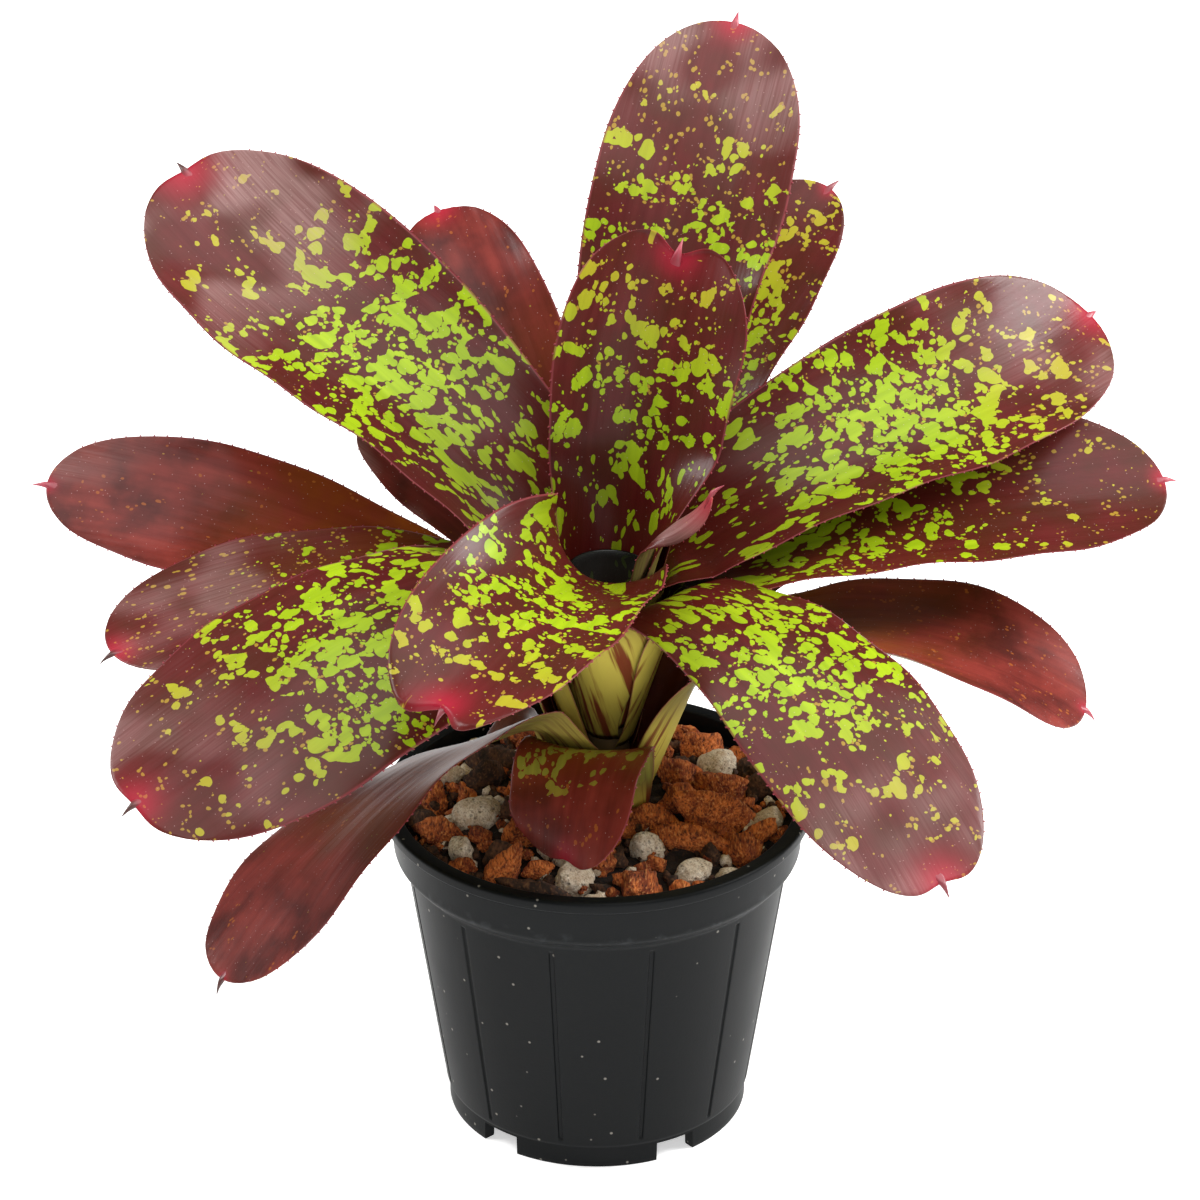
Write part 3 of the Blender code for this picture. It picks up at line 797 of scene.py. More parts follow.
@dataclass
class PottingMix:
    """Coarse orchid mix: coco husk, pine bark and pumice on a crowned bed."""

    edge_z: float = 95.0
    crown: float = 3.0
    radius: float = 58.2
    floor_z: float = 9.0
    neck: tuple[float, float] = PLANT_AXIS
    neck_radius: float = 16.0
    relief: float = 1.3
    sunk: float = 1.2
    skirt: tuple[tuple[float, float], ...] = ((57.9, 85.0), (54.8, 81.0), (44.0, 9.0))
    crumbs: int = 520
    seed: int = 4
    lumps: tuple[Lump, ...] = ()

    def height(self, x: Array, y: Array) -> Array:
        """Height of the bed: a low paraboloid."""
        return self.edge_z + self.crown * (1.0 - (x * x + y * y) / self.radius**2)

    def in_neck(self, x: float, y: float, margin: float = 0.0) -> bool:
        """Tells whether a place lies in the plant's neck, or nearer to it than a margin."""
        return math.hypot(x - self.neck[0], y - self.neck[1]) < self.neck_radius + margin

    def bed(self, finish: bpy.types.Material) -> bpy.types.Object:
        """Builds the bed: a rough disc, sunk under the lumps, over the skirt of the tapered filling.

        Args:
            finish: its material.

        Returns:
            The bed.
        """
        rng = np.random.default_rng(self.seed)
        skirt_radii, skirt_heights = np.array(self.skirt).T
        radii = np.concatenate([np.linspace(0.0, self.radius, 60)[1:], skirt_radii])
        turns = np.linspace(0.0, math.tau, 220, endpoint=False)
        x, y = radii[:, None] * np.cos(turns), radii[:, None] * np.sin(turns)
        z = self.height(x, y)
        rough = waves(np.stack([x, y, 0.0 * x], -1), rng, 9.0, 4)
        z += self.relief * rough * smooth((self.radius - radii) / 3.0)[:, None] - self.sunk
        z[-len(self.skirt) :] = skirt_heights[:, None]
        top = (0.0, 0.0, self.edge_z + self.crown - self.sunk)
        made = closed_body("mix_bed", np.stack([x, y, z], -1), top, (0.0, 0.0, self.floor_z), finish)
        return settle(made, "potting_mix", "potting_mix")

    def chunk(self, kind: Kind, rng: np.random.Generator, ways: Array) -> Array:
        """Shapes a lump of unit half size along given directions.

        The radius is a soft least distance to random planes, which gives a blunt lump: the more
        planes, the rounder, and the higher the power, the sharper its edges. Husk and bark get
        ridges along one axis, and stones get pits.

        Args:
            kind: what the lump is.
            rng: seeded source.
            ways: unit directions of its points.

        Returns:
            Its points.
        """
        shapes = {Kind.HUSK: (9, 9.0), Kind.BARK: (8, 12.0), Kind.STONE: (15, 8.0), Kind.PEBBLE: (22, 7.0)}
        sides, power = shapes[kind]
        planes = unit(rng.normal(size=(sides, 3)))
        planes = np.vstack([planes, -planes]) / rng.uniform(0.72, 1.05, (2 * sides, 1))
        near = np.maximum(ways @ planes.T, 0.0)
        radius = 1.0 / (near**power).sum(1) ** (1.0 / power)
        if kind in (Kind.HUSK, Kind.BARK):
            ridged = ways * np.array([0.35, 1.6, 1.6]) * radius[:, None]
            radius *= 1.0 + 0.11 * np.abs(waves(ridged, rng, 1.1, 3)) - 0.05
            radius *= 1.0 + 0.05 * waves(ways * radius[:, None], rng, 0.9, 3)
        else:
            radius *= 1.0 + 0.035 * waves(ways, rng, 0.8, 3)
            centres = unit(rng.normal(size=(PITS, 3)))
            width = rng.uniform(0.03, 0.10, PITS)
            far = 1.0 - ways @ centres.T
            pits = np.exp(-((far / (width**2 * 0.6)) ** 2)) * width
            if kind is Kind.STONE:
                radius -= 0.75 * pits.max(1)
        return ways * radius[:, None]

    def scatter(self) -> list[Lump]:
        """Adds lumps between those listed, by seeded draws that keep a distance.

        Returns:
            All the lumps.
        """
        rng = np.random.default_rng(self.seed + 1)
        placed = list(self.lumps)
        for size, tries in ((7.2, 700), (5.6, 900), (4.2, 1500), (3.0, 1500)):
            for _ in range(tries):
                turn, share = rng.uniform(0.0, math.tau), rng.uniform()
                draw = rng.uniform()
                far = (self.radius - 0.9 * size) * math.sqrt(share)
                x, y = far * math.cos(turn), far * math.sin(turn)
                if self.in_neck(x, y, 0.5 * size):
                    continue
                if any(math.hypot(x - o.x, y - o.y) < 0.86 * (size + o.size) for o in placed):
                    continue
                kind = Kind.HUSK if draw < 0.55 else Kind.BARK if draw < 0.87 else Kind.STONE
                if size < 4.0 and draw > 0.93:
                    kind = Kind.PEBBLE
                placed.append(Lump(kind, x, y, size * (0.9 + 0.2 * draw), size * 0.7))
        return placed

    def build(self, finishes: dict[Kind, bpy.types.Material], bed: bpy.types.Material) -> None:
        """Builds the bed, the lumps of each kind and the crumbs.

        A lump is stretched a little, turned, leaned and set on the bed at its place.

        Args:
            finishes: material of each kind.
            bed: material of the bed.
        """
        self.bed(bed)
        rng = np.random.default_rng(self.seed + 2)
        gathered = {kind: Pieces() for kind in Kind}
        fine, fine_faces = ball(5)
        plain, plain_faces = ball(4)
        for lump in self.scatter():
            big = lump.kind is Kind.STONE and lump.size > 5.0
            ways, faces = (fine, fine_faces) if big else (plain, plain_faces)
            points = self.chunk(lump.kind, rng, ways)
            stretch = np.array([rng.uniform(1.0, 1.2), rng.uniform(0.8, 0.95), 1.0])
            points = points * stretch * np.array([lump.size, lump.size, lump.height])
            points = points @ rotation(rng, 0.3).T
            z = self.height(lump.x, lump.y) + 0.1 * lump.height + rng.uniform(-0.7, 0.5)
            points += np.array([lump.x, lump.y, z])
            gathered[lump.kind].add(points, faces, tone=rng.uniform())
        crumb, crumb_faces = ball(2)
        for number in range(self.crumbs):
            turn, share = rng.uniform(0.0, math.tau), rng.uniform()
            far = self.radius * math.sqrt(share) * 0.97
            place = np.array([far * math.cos(turn), far * math.sin(turn), 0.0])
            size = rng.uniform(0.7, 2.3)
            points = crumb * rng.uniform(0.7, 1.15, (len(crumb), 1)) * rng.uniform(0.6, 1.3, 3) * size
            place[2] = self.height(place[0], place[1]) + rng.uniform(-0.6, 1.2)
            if self.in_neck(place[0], place[1]):
                continue
            kind = (Kind.HUSK, Kind.BARK, Kind.BARK, Kind.HUSK, Kind.STONE)[number % 5]
            gathered[kind].add(points @ rotation(rng, 1.0).T + place, crumb_faces, tone=rng.uniform())
        for kind, pieces in gathered.items():
            name = "mix_" + kind.value.replace(" ", "_")
            settle(pieces.make(name, [finishes[kind]]), "potting_mix")


@dataclass
class NurseryPot:
    """A thin moulded pot: lip, collar, tapered body with sunk lines, foot ring cut into feet."""

    height: float = 101.5
    lip: float = 63.4
    collar_top: float = 61.4
    collar_foot: float = 60.2
    body_top: float = 56.7
    body_foot: float = 45.5
    foot: float = 44.6
    wall: float = 1.6
    grooves: int = 12
    groove_start: float = -13.6
    groove_width: float = 1.5
    groove_depth: float = 0.5
    feet: int = 5
    foot_middle: float = -94.5
    notch_angle: float = 16.0
    notch_top: float = 6.0
    floor_top: float = 8.6
    floor_low: float = 6.6
    drain_radius: float = 4.5
    drain_ring: float = 30.0
    drain_depth: float = 8.0

    def profile(self) -> Array:
        """Radius and height of the wall's outline, from inside the floor over the lip to underneath.

        Round corners are arcs, and the body has close rows where the sunk lines end.

        Returns:
            Points of two numbers, from pole to pole.
        """
        outer = self.body_outer
        z_inside = np.linspace(80.0, 11.0, 14)[::-1]
        inner = [(radius, self.floor_top) for radius in (0.0, 20.0, 34.0, outer(self.floor_top) - 3.6)]
        inner += [(outer(9.2) - 2.2, 9.2)]
        inner += [(outer(z) - self.wall, z) for z in z_inside]
        inner += [(55.3, 81.6), (57.6, 83.6), (58.2, 84.8), (58.4, 92.0), (58.55, 100.4)]
        lip = self.arc((59.5, self.height - 0.9), 0.9, 180.0, 90.0, 6)
        lip += self.arc((self.lip - 1.1, self.height - 1.1), 1.1, 90.0, 0.0, 7)
        lip += self.arc((self.lip - 0.6, 98.6), 0.6, 0.0, -90.0, 5)
        lip += self.arc((self.collar_top + 0.5, 97.5), 0.5, 90.0, 180.0, 4)
        collar = [(self.collar_top - 0.12 * k, 97.0 - k) for k in range(0, 9)]
        collar += self.arc((self.collar_foot - 3.2, 87.6), 3.3, 0.0, -62.0, 9)
        collar += [(57.7, 83.5), (57.2, 82.9), (56.85, 82.5), (self.body_top, 82.1)]
        spans = ((81.9, 79.6, 9), (78.5, 11.5, 30), (10.9, 8.2, 10))
        body = [(outer(z), z) for span in spans for z in np.linspace(*span)]
        low = [(self.body_foot, 7.8), (self.body_foot - 0.15, 7.45)]
        low += [(self.foot + 0.15, 7.2), (self.foot, 6.9)]
        low += [(self.foot, z) for z in (6.4, 6.0, 4.0, 2.0)]
        low += self.arc((self.foot - 0.4, 0.4), 0.4, 0.0, -90.0, 4)
        low += self.arc((self.foot - 3.2, 0.4), 0.4, -90.0, -180.0, 4)
        low += [(self.foot - 3.6, z) for z in (2.0, 4.0, 6.0, self.floor_low)]
        low += [(radius, self.floor_low) for radius in (36.0, 20.0, 0.0)]
        return np.array(inner + lip + collar + body + low)

    def body_outer(self, z: float) -> float:
        """Radius of the body's outside, straight from the foot to the collar."""
        return self.body_foot + (self.body_top - self.body_foot) * (z - 7.5) / (82.2 - 7.5)

    @staticmethod
    def arc(
        centre: tuple[float, float], radius: float, start: float, end: float, count: int
    ) -> list[tuple[float, float]]:
        """Points of an arc in the profile's plane, from start to end degrees."""
        turns = np.radians(np.linspace(start, end, count))
        return [(centre[0] + radius * math.cos(t), centre[1] + radius * math.sin(t)) for t in turns]

    def turns(self) -> Array:
        """Angles of the columns: even ones, close ones over each line, pairs at each notch side.

        Returns:
            Angles in radians, rising, none doubled.
        """
        even = np.linspace(0.0, 360.0, 240, endpoint=False)
        width = math.degrees(self.groove_width / self.body_top)
        near = np.linspace(-0.75, 0.75, 9) * width
        lines = -90.0 + self.groove_start + 360.0 / self.grooves * np.arange(self.grooves)
        notches = self.foot_middle + 360.0 / self.feet * (np.arange(self.feet) + 0.5)
        half = self.notch_angle / 2.0
        sides = np.array([-half - 0.35, -half - 0.2, -half, half, half + 0.2, half + 0.35])
        added = [(lines[:, None] + near).ravel(), (notches[:, None] + sides).ravel()]
        made = np.unique(np.round(np.concatenate([even, *added]) % 360.0, 3))
        return np.radians(made[np.concatenate([[True], np.diff(made) > 0.04])])

    def build(self, finish: bpy.types.Material) -> bpy.types.Object:
        """Turns the profile, sinks the lines, cuts the feet and bores the drain holes.

        A line lowers the radius by a soft step of the distance from its middle. Between the feet the
        wall's lower edge is lifted to the notch's top.

        Args:
            finish: the pot's material.

        Returns:
            The pot.
        """
        outline = self.profile()
        turns = self.turns()
        degrees = np.degrees(turns)
        outside = np.arange(len(outline)) > np.argmax(outline[:, 1])
        r = outline[:, :1] + 0.0 * turns
        z = outline[:, 1:] + 0.0 * turns
        pitch = 360.0 / self.grooves
        off = (degrees + 90.0 - self.groove_start + pitch / 2.0) % pitch - pitch / 2.0
        across = np.abs(np.radians(off)) * self.body_top / self.groove_width
        sunk = self.groove_depth * smooth((0.62 - across) / 0.3)
        rows = outside[:, None] & (z > 8.4) & (z < 81.6)
        ends = smooth((z - 9.0) / 1.2) * smooth((81.0 - z) / 1.2)
        r = r - np.where(rows, sunk * ends, 0.0)
        step = 360.0 / self.feet
        near = np.abs((degrees - self.foot_middle) % step - step / 2.0)
        open_share = 1.0 - smooth((near - self.notch_angle / 2.0) / 0.2)
        low = (z < self.notch_top) & outside[:, None]
        z = np.where(low, z + (self.notch_top - z) * open_share, z)
        x, y = r * np.cos(turns), r * np.sin(turns)
        low_pole, high_pole = (0.0, 0.0, outline[-1, 1]), (0.0, 0.0, outline[0, 1])
        grid = np.stack([x, y, z], -1)[1:-1]
        made = closed_body("pot_moulding", grid, high_pole, low_pole, finish)
        self.bore(made)
        made.data.shade_smooth()
        made.data.set_sharp_from_angle(angle=math.radians(40.0))
        return settle(made, "pot", "pot")

    def bore(self, pot: bpy.types.Object) -> None:
        """Cuts the drain holes with cylinders and bakes the cut into the mesh.

        Args:
            pot: the turned pot.
        """
        shape = bmesh.new()
        for number in range(self.feet):
            turn = math.radians(self.foot_middle + 360.0 / self.feet * (number + 0.5))
            radius = self.drain_radius * MM
            sizes = {"radius1": radius, "radius2": radius, "depth": self.drain_depth * MM}
            made = bmesh.ops.create_cone(shape, cap_ends=True, segments=40, **sizes)
            middle = (self.floor_low + self.floor_top) / 2.0
            place = np.array([self.drain_ring * math.cos(turn), self.drain_ring * math.sin(turn), middle])
            bmesh.ops.translate(shape, vec=place * MM, verts=made["verts"])
        mesh = bpy.data.meshes.new("drains")
        shape.to_mesh(mesh)
        shape.free()
        cutter = bpy.data.objects.new("drains", mesh)
        bpy.context.scene.collection.objects.link(cutter)
        cut = pot.modifiers.new("Drains", "BOOLEAN")
        cut.operation = "DIFFERENCE"
        cut.solver = "MANIFOLD"
        cut.object = cutter
        bpy.context.view_layer.update()
        graph = bpy.context.evaluated_depsgraph_get()
        baked = bpy.data.meshes.new_from_object(pot.evaluated_get(graph))
        pot.modifiers.clear()
        pot.data = baked
        bpy.data.objects.remove(cutter)


# Finishes

# Shader nodes by short names. Math takes its terms in inputs 0, 1 and 2. Mix takes the share in 0 and
# the colours under and over in 6 and 7. Map Range takes the value in 0, the span it comes from in 1
# and 2, and the span it goes to in 3 and 4.
MATH, MIX, RANGE = "ShaderNodeMath", "ShaderNodeMix", "ShaderNodeMapRange"
NOISE, CELLS, BUMP = "ShaderNodeTexNoise", "ShaderNodeTexVoronoi", "ShaderNodeBump"
VECTOR, MARK, PLACE = "ShaderNodeVectorMath", "ShaderNodeAttribute", "ShaderNodeTexCoord"
COLOUR = {"out": 2, "data_type": "RGBA"}
FLAT = {"noise_dimensions": "2D"}
SOFT = {"interpolation_type": "SMOOTHSTEP"}
PLUS, LESS, TIMES, TIMES_PLUS = (
    {"operation": name} for name in ("ADD", "SUBTRACT", "MULTIPLY", "MULTIPLY_ADD")
)


def per_metre(size: float) -> float:
    """Cells of a pattern in a metre, for a cell of a size in millimetres."""
    return 1.0 / (size * MM)


@dataclass(frozen=True)
class Finish:
    """A material: each kind of finish gives the inputs of its surface shader."""

    name: str

    def build(self) -> bpy.types.Material:
        """Makes the material from its surface.

        Returns:
            The material.
        """
        made = bpy.data.materials.new(self.name)
        made.use_nodes = True
        made.node_tree.nodes.clear()
        add = partial(add_node, made.node_tree)
        shader = add("ShaderNodeBsdfPrincipled", self.surface(add))
        add("ShaderNodeOutputMaterial", {"Surface": shader})
        return made

    def surface(self, add: Adder) -> Inputs:
        """Inputs of the Principled shader.

        Args:
            add: adds a node to the material's tree.

        Returns:
            For each input's name, its socket, number or colour.
        """
        raise NotImplementedError


@dataclass(frozen=True)
class LeafTissue(Finish):
    """Waxy bromeliad leaf: maroon skin over green tissue, which shows through in crisp round spots.

    The wax gives the eye a broad soft gloss, the parallel veins a fine lengthwise grain, and the
    scurf towards the tip a pale bloom, whose soft patches also stand as painted sheen. Painted shade
    darkens the blade where it lies in the nest.
    """

    name: str = "waxy bromeliad leaf"
    skin_low: str = "#400a08"
    skin_high: str = "#561c1a"
    skin_worn: str = "#3e1c0c"
    lime: str = "#92aa12"
    leaf_green: str = "#78900a"
    fleck: str = "#a08428"
    rust: str = "#8c4408"
    blush: str = "#a41a32"
    margin: str = "#7c3438"
    # Pale scurf, in specks and in soft patches that also stand as painted sheen.
    bloom: str = "#b0908c"
    # Painted shade for the blade where it lies in the nest.
    nest_shade: str = "#3a0806"
    under_red: str = "#55302a"
    under_olive: str = "#7e7c36"
    foot_olive: str = "#c8b850"
    foot_red: str = "#74241c"
    roughness: float = 0.34
    gloss: float = 0.13
    wax: float = 0.09
    wax_roughness: float = 0.2
    # Cell and largest radius as a share of it, then how much of the leaf's density a layer takes.
    dot_layers: tuple[tuple[float, float, float], ...] = (
        (7.0, 0.36, 0.9),
        (4.8, 0.38, 0.9),
        (3.2, 0.38, 0.8),
        (2.0, 0.36, 0.6),
    )
    fleck_layer: tuple[float, float] = (2.2, 0.3)
    speck_layer: tuple[float, float] = (3.1, 0.055)
    dot_rim: float = 0.12

    def dots(self, add: Adder, chart: Socket, cell: float, reach: float, density: Socket | float) -> Socket:
        """A layer of dots round the points of a Voronoi pattern, each shrunk or left out by soft noise.

        Args:
            add: adds a node.
            chart: the map in metres.
            cell: size of a cell in millimetres.
            reach: largest radius as a share of the cell.
            density: from 0 to 1.

        Returns:
            How far inside the nearest dot a place lies, in millimetres, below zero outside.
        """
        place = {"Vector": chart, "Location": (0.1 * cell, 0.07 * cell, 0.0), "Rotation": (0.0, 0.0, cell)}
        moved = add("ShaderNodeMapping", place)
        cells = {"Vector": moved, "Scale": per_metre(cell), "Randomness": 0.9}
        far = add(CELLS, cells, "Distance", voronoi_dimensions="2D")
        # The noise is half as coarse again as the cells, so that neighbours differ but not at random.
        chance = add(NOISE, {"Vector": moved, "Scale": 0.64 * per_metre(cell), "Detail": 0.0}, **FLAT)
        chance = add(RANGE, {0: chance, 1: 0.28, 2: 0.72})
        kept = add(MATH, {0: density, 1: chance}, **LESS)
        kept = add(RANGE, {0: kept, 2: 0.3, 3: -0.06, 4: reach})
        inside = add(MATH, {0: kept, 1: far}, **LESS)
        return add(MATH, {0: inside, 1: cell}, **TIMES)

    def spots(self, add: Adder, chart: Socket, mark: dict[str, Socket]) -> tuple[Socket, Socket]:
        """Green spots: layers of dots, where the small ones gather round the large and give them lobes.

        Args:
            add: adds a node.
            chart: the map of the spots in metres.
            mark: the leaf's attributes.

        Returns:
            How crowded a place is, about zero, and the share of green.
        """
        # Spots crowd into patches that are wider across the leaf than along it.
        crowd = add(VECTOR, {0: chart, 1: (0.75, 1.3, 1.0)}, **TIMES)
        crowd = add(NOISE, {"Vector": crowd, "Scale": per_metre(10.526), "Detail": 1.5}, **FLAT)
        crowd = add(RANGE, {0: crowd, 1: 0.34, 2: 0.66, 3: -0.34, 4: 0.34})
        some = add(RANGE, {0: mark["spot"], 2: 0.12})
        density = add(MATH, {0: mark["spot"], 1: crowd}, **PLUS)
        density = add(MATH, {0: density, 1: some}, **TIMES)
        density = add(MATH, {0: mark["blush"], 1: -1.6, 2: density}, **TIMES_PLUS)
        inside, near = -9.0, 0.0
        for cell, reach, weight in self.dot_layers:
            local = add(MATH, {0: density, 1: weight, 2: near}, **TIMES_PLUS)
            layer = self.dots(add, chart, cell, reach, local)
            inside = add(MATH, {0: layer, 1: inside}, operation="MAXIMUM")
            near = add(RANGE, {0: inside, 1: -0.9, 2: 0.0, 4: 0.3})
        return crowd, add(RANGE, {0: inside, 2: self.dot_rim}, **SOFT)

    def veins(self, add: Adder, blade: Socket) -> tuple[Socket, Socket, Socket]:
        """Fine grain and broader streaks, both drawn out along the leaf, and soft clouds.

        Args:
            add: adds a node.
            blade: the leaf's own map in metres.

        Returns:
            Grain, streaks and clouds, from 0 to 1.
        """
        drawn = []
        for across, along, detail in ((0.66667, 27.778, 3.0), (3.0303, 45.455, 4.0)):
            stretched = add(VECTOR, {0: blade, 1: (per_metre(across), per_metre(along), 0.0)}, **TIMES)
            drawn.append(add(NOISE, {"Vector": stretched, "Scale": 1.0, "Detail": detail}, **FLAT))
        cloud = add(NOISE, {"Vector": blade, "Scale": per_metre(16.667), "Detail": 4.0}, **FLAT)
        cloud = add(RANGE, {0: cloud, 1: 0.34, 2: 0.68})
        return drawn[0], add(RANGE, {0: drawn[1], 1: 0.2, 2: 0.8}), cloud

    def skin(self, add: Adder, mark: dict[str, Socket], streak: Socket, cloud: Socket) -> Coats:
        """Coats of the bare skin over its darkest tone: lighter veins, wear, and the rust of age.

        Args:
            add: adds a node.
            mark: the leaf's attributes.
            streak: streaks along the veins.
            cloud: soft clouds.

        Returns:
            The coats, each a share and a colour.
        """
        # The skin is deep red at the foot, and browner and paler towards the tip.
        depth = add(RANGE, {0: mark["along"], 1: 0.35, 2: 0.9, 3: -0.15, 4: 0.45}, **SOFT)
        depth = add(MATH, {0: streak, 1: 0.7, 2: depth}, **TIMES_PLUS, use_clamp=True)
        worn = add(MATH, {0: mark["age"], 1: 0.2, 2: 0.65}, **TIMES_PLUS)
        worn = add(MATH, {0: cloud, 1: worn}, **TIMES)
        # Ageing leaves are rusty towards the foot.
        rusty = add(RANGE, {0: mark["along"], 1: 0.35, 2: 0.85, 3: 1.0, 4: 0.0}, **SOFT)
        rusty = add(MATH, {0: rusty, 1: mark["age"]}, **TIMES)
        mottle = add(MATH, {0: cloud, 1: 0.8, 2: 0.4}, **TIMES_PLUS, use_clamp=True)
        rusty = add(MATH, {0: rusty, 1: mottle}, **TIMES)
        return [(depth, self.skin_high), (worn, self.skin_worn), (rusty, self.rust)]

    def green_tissue(self, add: Adder, mark: dict[str, Socket], streak: Socket) -> Socket:
        """Colour of the spots: lime with darker veins, and tan towards the tip.

        Args:
            add: adds a node.
            mark: the leaf's attributes.
            streak: streaks along the veins.

        Returns:
            The colour.
        """
        lime = add(MIX, {0: streak, 6: self.leaf_green, 7: self.lime}, **COLOUR)
        tan = add(RANGE, {0: mark["along"], 1: 0.62, 2: 0.92, 4: 0.65}, **SOFT)
        return add(MIX, {0: tan, 6: lime, 7: self.fleck}, **COLOUR)

    def marks_on_top(self, add: Adder, chart: Socket, blade: Socket, flecked: Socket, green: Socket) -> Coats:
        """Coats of tan flecks, which lie on bare skin only, and of pale specks: scurf and old scratches.

        Args:
            add: adds a node.
            chart: the map of the spots.
            blade: the leaf's own map.
            flecked: density of the flecks.
            green: share of green.

        Returns:
            The coats, each a share and a colour.
        """
        flecks = add(RANGE, {0: self.dots(add, chart, *self.fleck_layer, flecked), 2: self.dot_rim}, **SOFT)
        bare = add(MATH, {0: 0.7, 1: green}, **LESS, use_clamp=True)
        flecks = add(MATH, {0: flecks, 1: bare}, **TIMES)
        specks = add(RANGE, {0: self.dots(add, blade, *self.speck_layer, 0.75), 2: 0.08, 4: 0.55}, **SOFT)
        return [(flecks, self.fleck), (specks, self.bloom)]

    def under_side(self, add: Adder, mark: dict[str, Socket], streak: Socket, green: Socket) -> Coats:
        """Coats of the under side: dull, with the spots faint, and olive with maroon at the sheath.

        Args:
            add: adds a node.
            mark: the leaf's attributes.
            streak: streaks along the veins.
            green: share of green.

        Returns:
            The coats, each a share and a colour.
        """
        through = add(MATH, {0: green, 1: 0.55}, **TIMES)
        back = add(MIX, {0: streak, 6: self.under_red, 7: self.under_olive}, **COLOUR)
        back = add(MIX, {0: through, 6: back, 7: self.under_olive}, **COLOUR)
        foot = add(RANGE, {0: mark["along"], 1: 0.16, 2: 0.30, 3: 0.85, 4: 0.0}, **SOFT)
        foot = add(MATH, {0: foot, 1: mark["under"]}, **TIMES)
        veined = add(RANGE, {0: streak, 1: 0.48, 2: 0.72}, **SOFT)
        sheath = add(MIX, {0: veined, 6: self.foot_olive, 7: self.foot_red}, **COLOUR)
        return [(mark["under"], back), (foot, sheath)]

    def scurf(self, add: Adder, mark: dict[str, Socket], blade: Socket, grain: Socket) -> Coats:
        """Coat of pale scurf in soft patches, broken by the grain; the patches also stand as painted sheen.

        Args:
            add: adds a node.
            mark: the leaf's attributes.
            blade: the leaf's own map.
            grain: fine grain along the leaf.

        Returns:
            The coat, a share and a colour.
        """
        scurf_and_sheen_share = add(RANGE, {0: grain, 1: 0.3, 2: 0.7, 3: 0.5, 4: 1.0})
        scurf_and_sheen_share = add(MATH, {0: scurf_and_sheen_share, 1: mark["bloom"]}, **TIMES)
        # Soft patches of the pale scurf, which also stand as painted sheen.
        scurf_and_sheen_patches = add(NOISE, {"Vector": blade, "Scale": per_metre(29.412), "Detail": 1.0}, **FLAT)
        scurf_and_sheen_patches = add(RANGE, {0: scurf_and_sheen_patches, 1: 0.42, 2: 0.66, 3: 0.06}, **SOFT)
        return [(add(MATH, {0: scurf_and_sheen_share, 1: scurf_and_sheen_patches}, **TIMES), self.bloom)]

    def surface(self, add: Adder) -> Inputs:
        """Lays the leaf's coats over each other, by its marks and maps.

        Args:
            add: adds a node.

        Returns:
            The shader's inputs.
        """
        blade, chart = (add("ShaderNodeUVMap", out="UV", uv_map=name) for name in ("blade", "spots"))
        names = ("spot", "along", "rim", "blush", "age", "flecks", "bloom", "under")
        mark = {name: add(MARK, out="Fac", attribute_name=name) for name in names}
        # A slight warp, of 0.3 mm in waves of 3.3 mm, keeps the dots from being true circles.
        warp = add(NOISE, {"Vector": chart, "Scale": per_metre(3.3333), "Detail": 0.0}, 1, **FLAT)
        warp = add(VECTOR, {0: warp, 1: (0.5, 0.5, 0.5)}, **LESS)
        warp = add(VECTOR, {0: warp, "Scale": 0.6 * MM}, operation="SCALE")
        chart = add(VECTOR, {0: chart, 1: warp}, **PLUS)
        crowd, green = self.spots(add, chart, mark)
        grain, streak, cloud = self.veins(add, blade)
        flecked = add(MATH, {0: crowd, 1: 0.5, 2: mark["flecks"]}, **TIMES_PLUS)
        # Painted shade darkens the blade where it lies in the nest, and its margin has a thin red line.
        nest_shade = add(RANGE, {0: mark["along"], 1: 0.26, 2: 0.58, 3: 0.45, 4: 0.0}, **SOFT)
        edge = add(RANGE, {0: mark["rim"], 1: 0.97, 2: 0.99, 4: 0.7}, **SOFT)
        coats = self.skin(add, mark, streak, cloud)
        coats += [(green, self.green_tissue(add, mark, streak))]
        coats += self.marks_on_top(add, chart, blade, flecked, green) + [(nest_shade, self.nest_shade)]
        coats += self.under_side(add, mark, streak, green) + self.scurf(add, mark, blade, grain)
        coats += [(mark["blush"], self.blush), (edge, self.margin)]
        colour = self.skin_low
        for share, over in coats:
            colour = add(MIX, {0: share, 6: colour, 7: over}, **COLOUR)
        height = add(MATH, {0: grain, 1: 0.5, 2: streak}, **TIMES_PLUS)
        height = add(MATH, {0: green, 1: 0.3, 2: height}, **TIMES_PLUS)
        return {
            "Base Color": colour,
            "Roughness": add(RANGE, {0: grain, 3: self.roughness - 0.06, 4: self.roughness + 0.1}),
            "Normal": add(BUMP, {"Strength": 0.3, "Distance": 0.22 * MM, "Height": height}),
            "Specular IOR Level": self.gloss,
            "Coat Weight": self.wax,
            "Coat Roughness": self.wax_roughness,
        }


# An old leaf loses its wax and its green: it looks duller and rust red, and its spots turn olive.
OLD_TISSUE = LeafTissue(
    name="ageing bromeliad leaf",
    skin_low="#500e0c",
    skin_high="#7a2c24",
    skin_worn="#3a0c06",
    lime="#86802a",
    leaf_green="#6f6a20",
    fleck="#94501c",
    roughness=0.42,
    gloss=0.14,
)


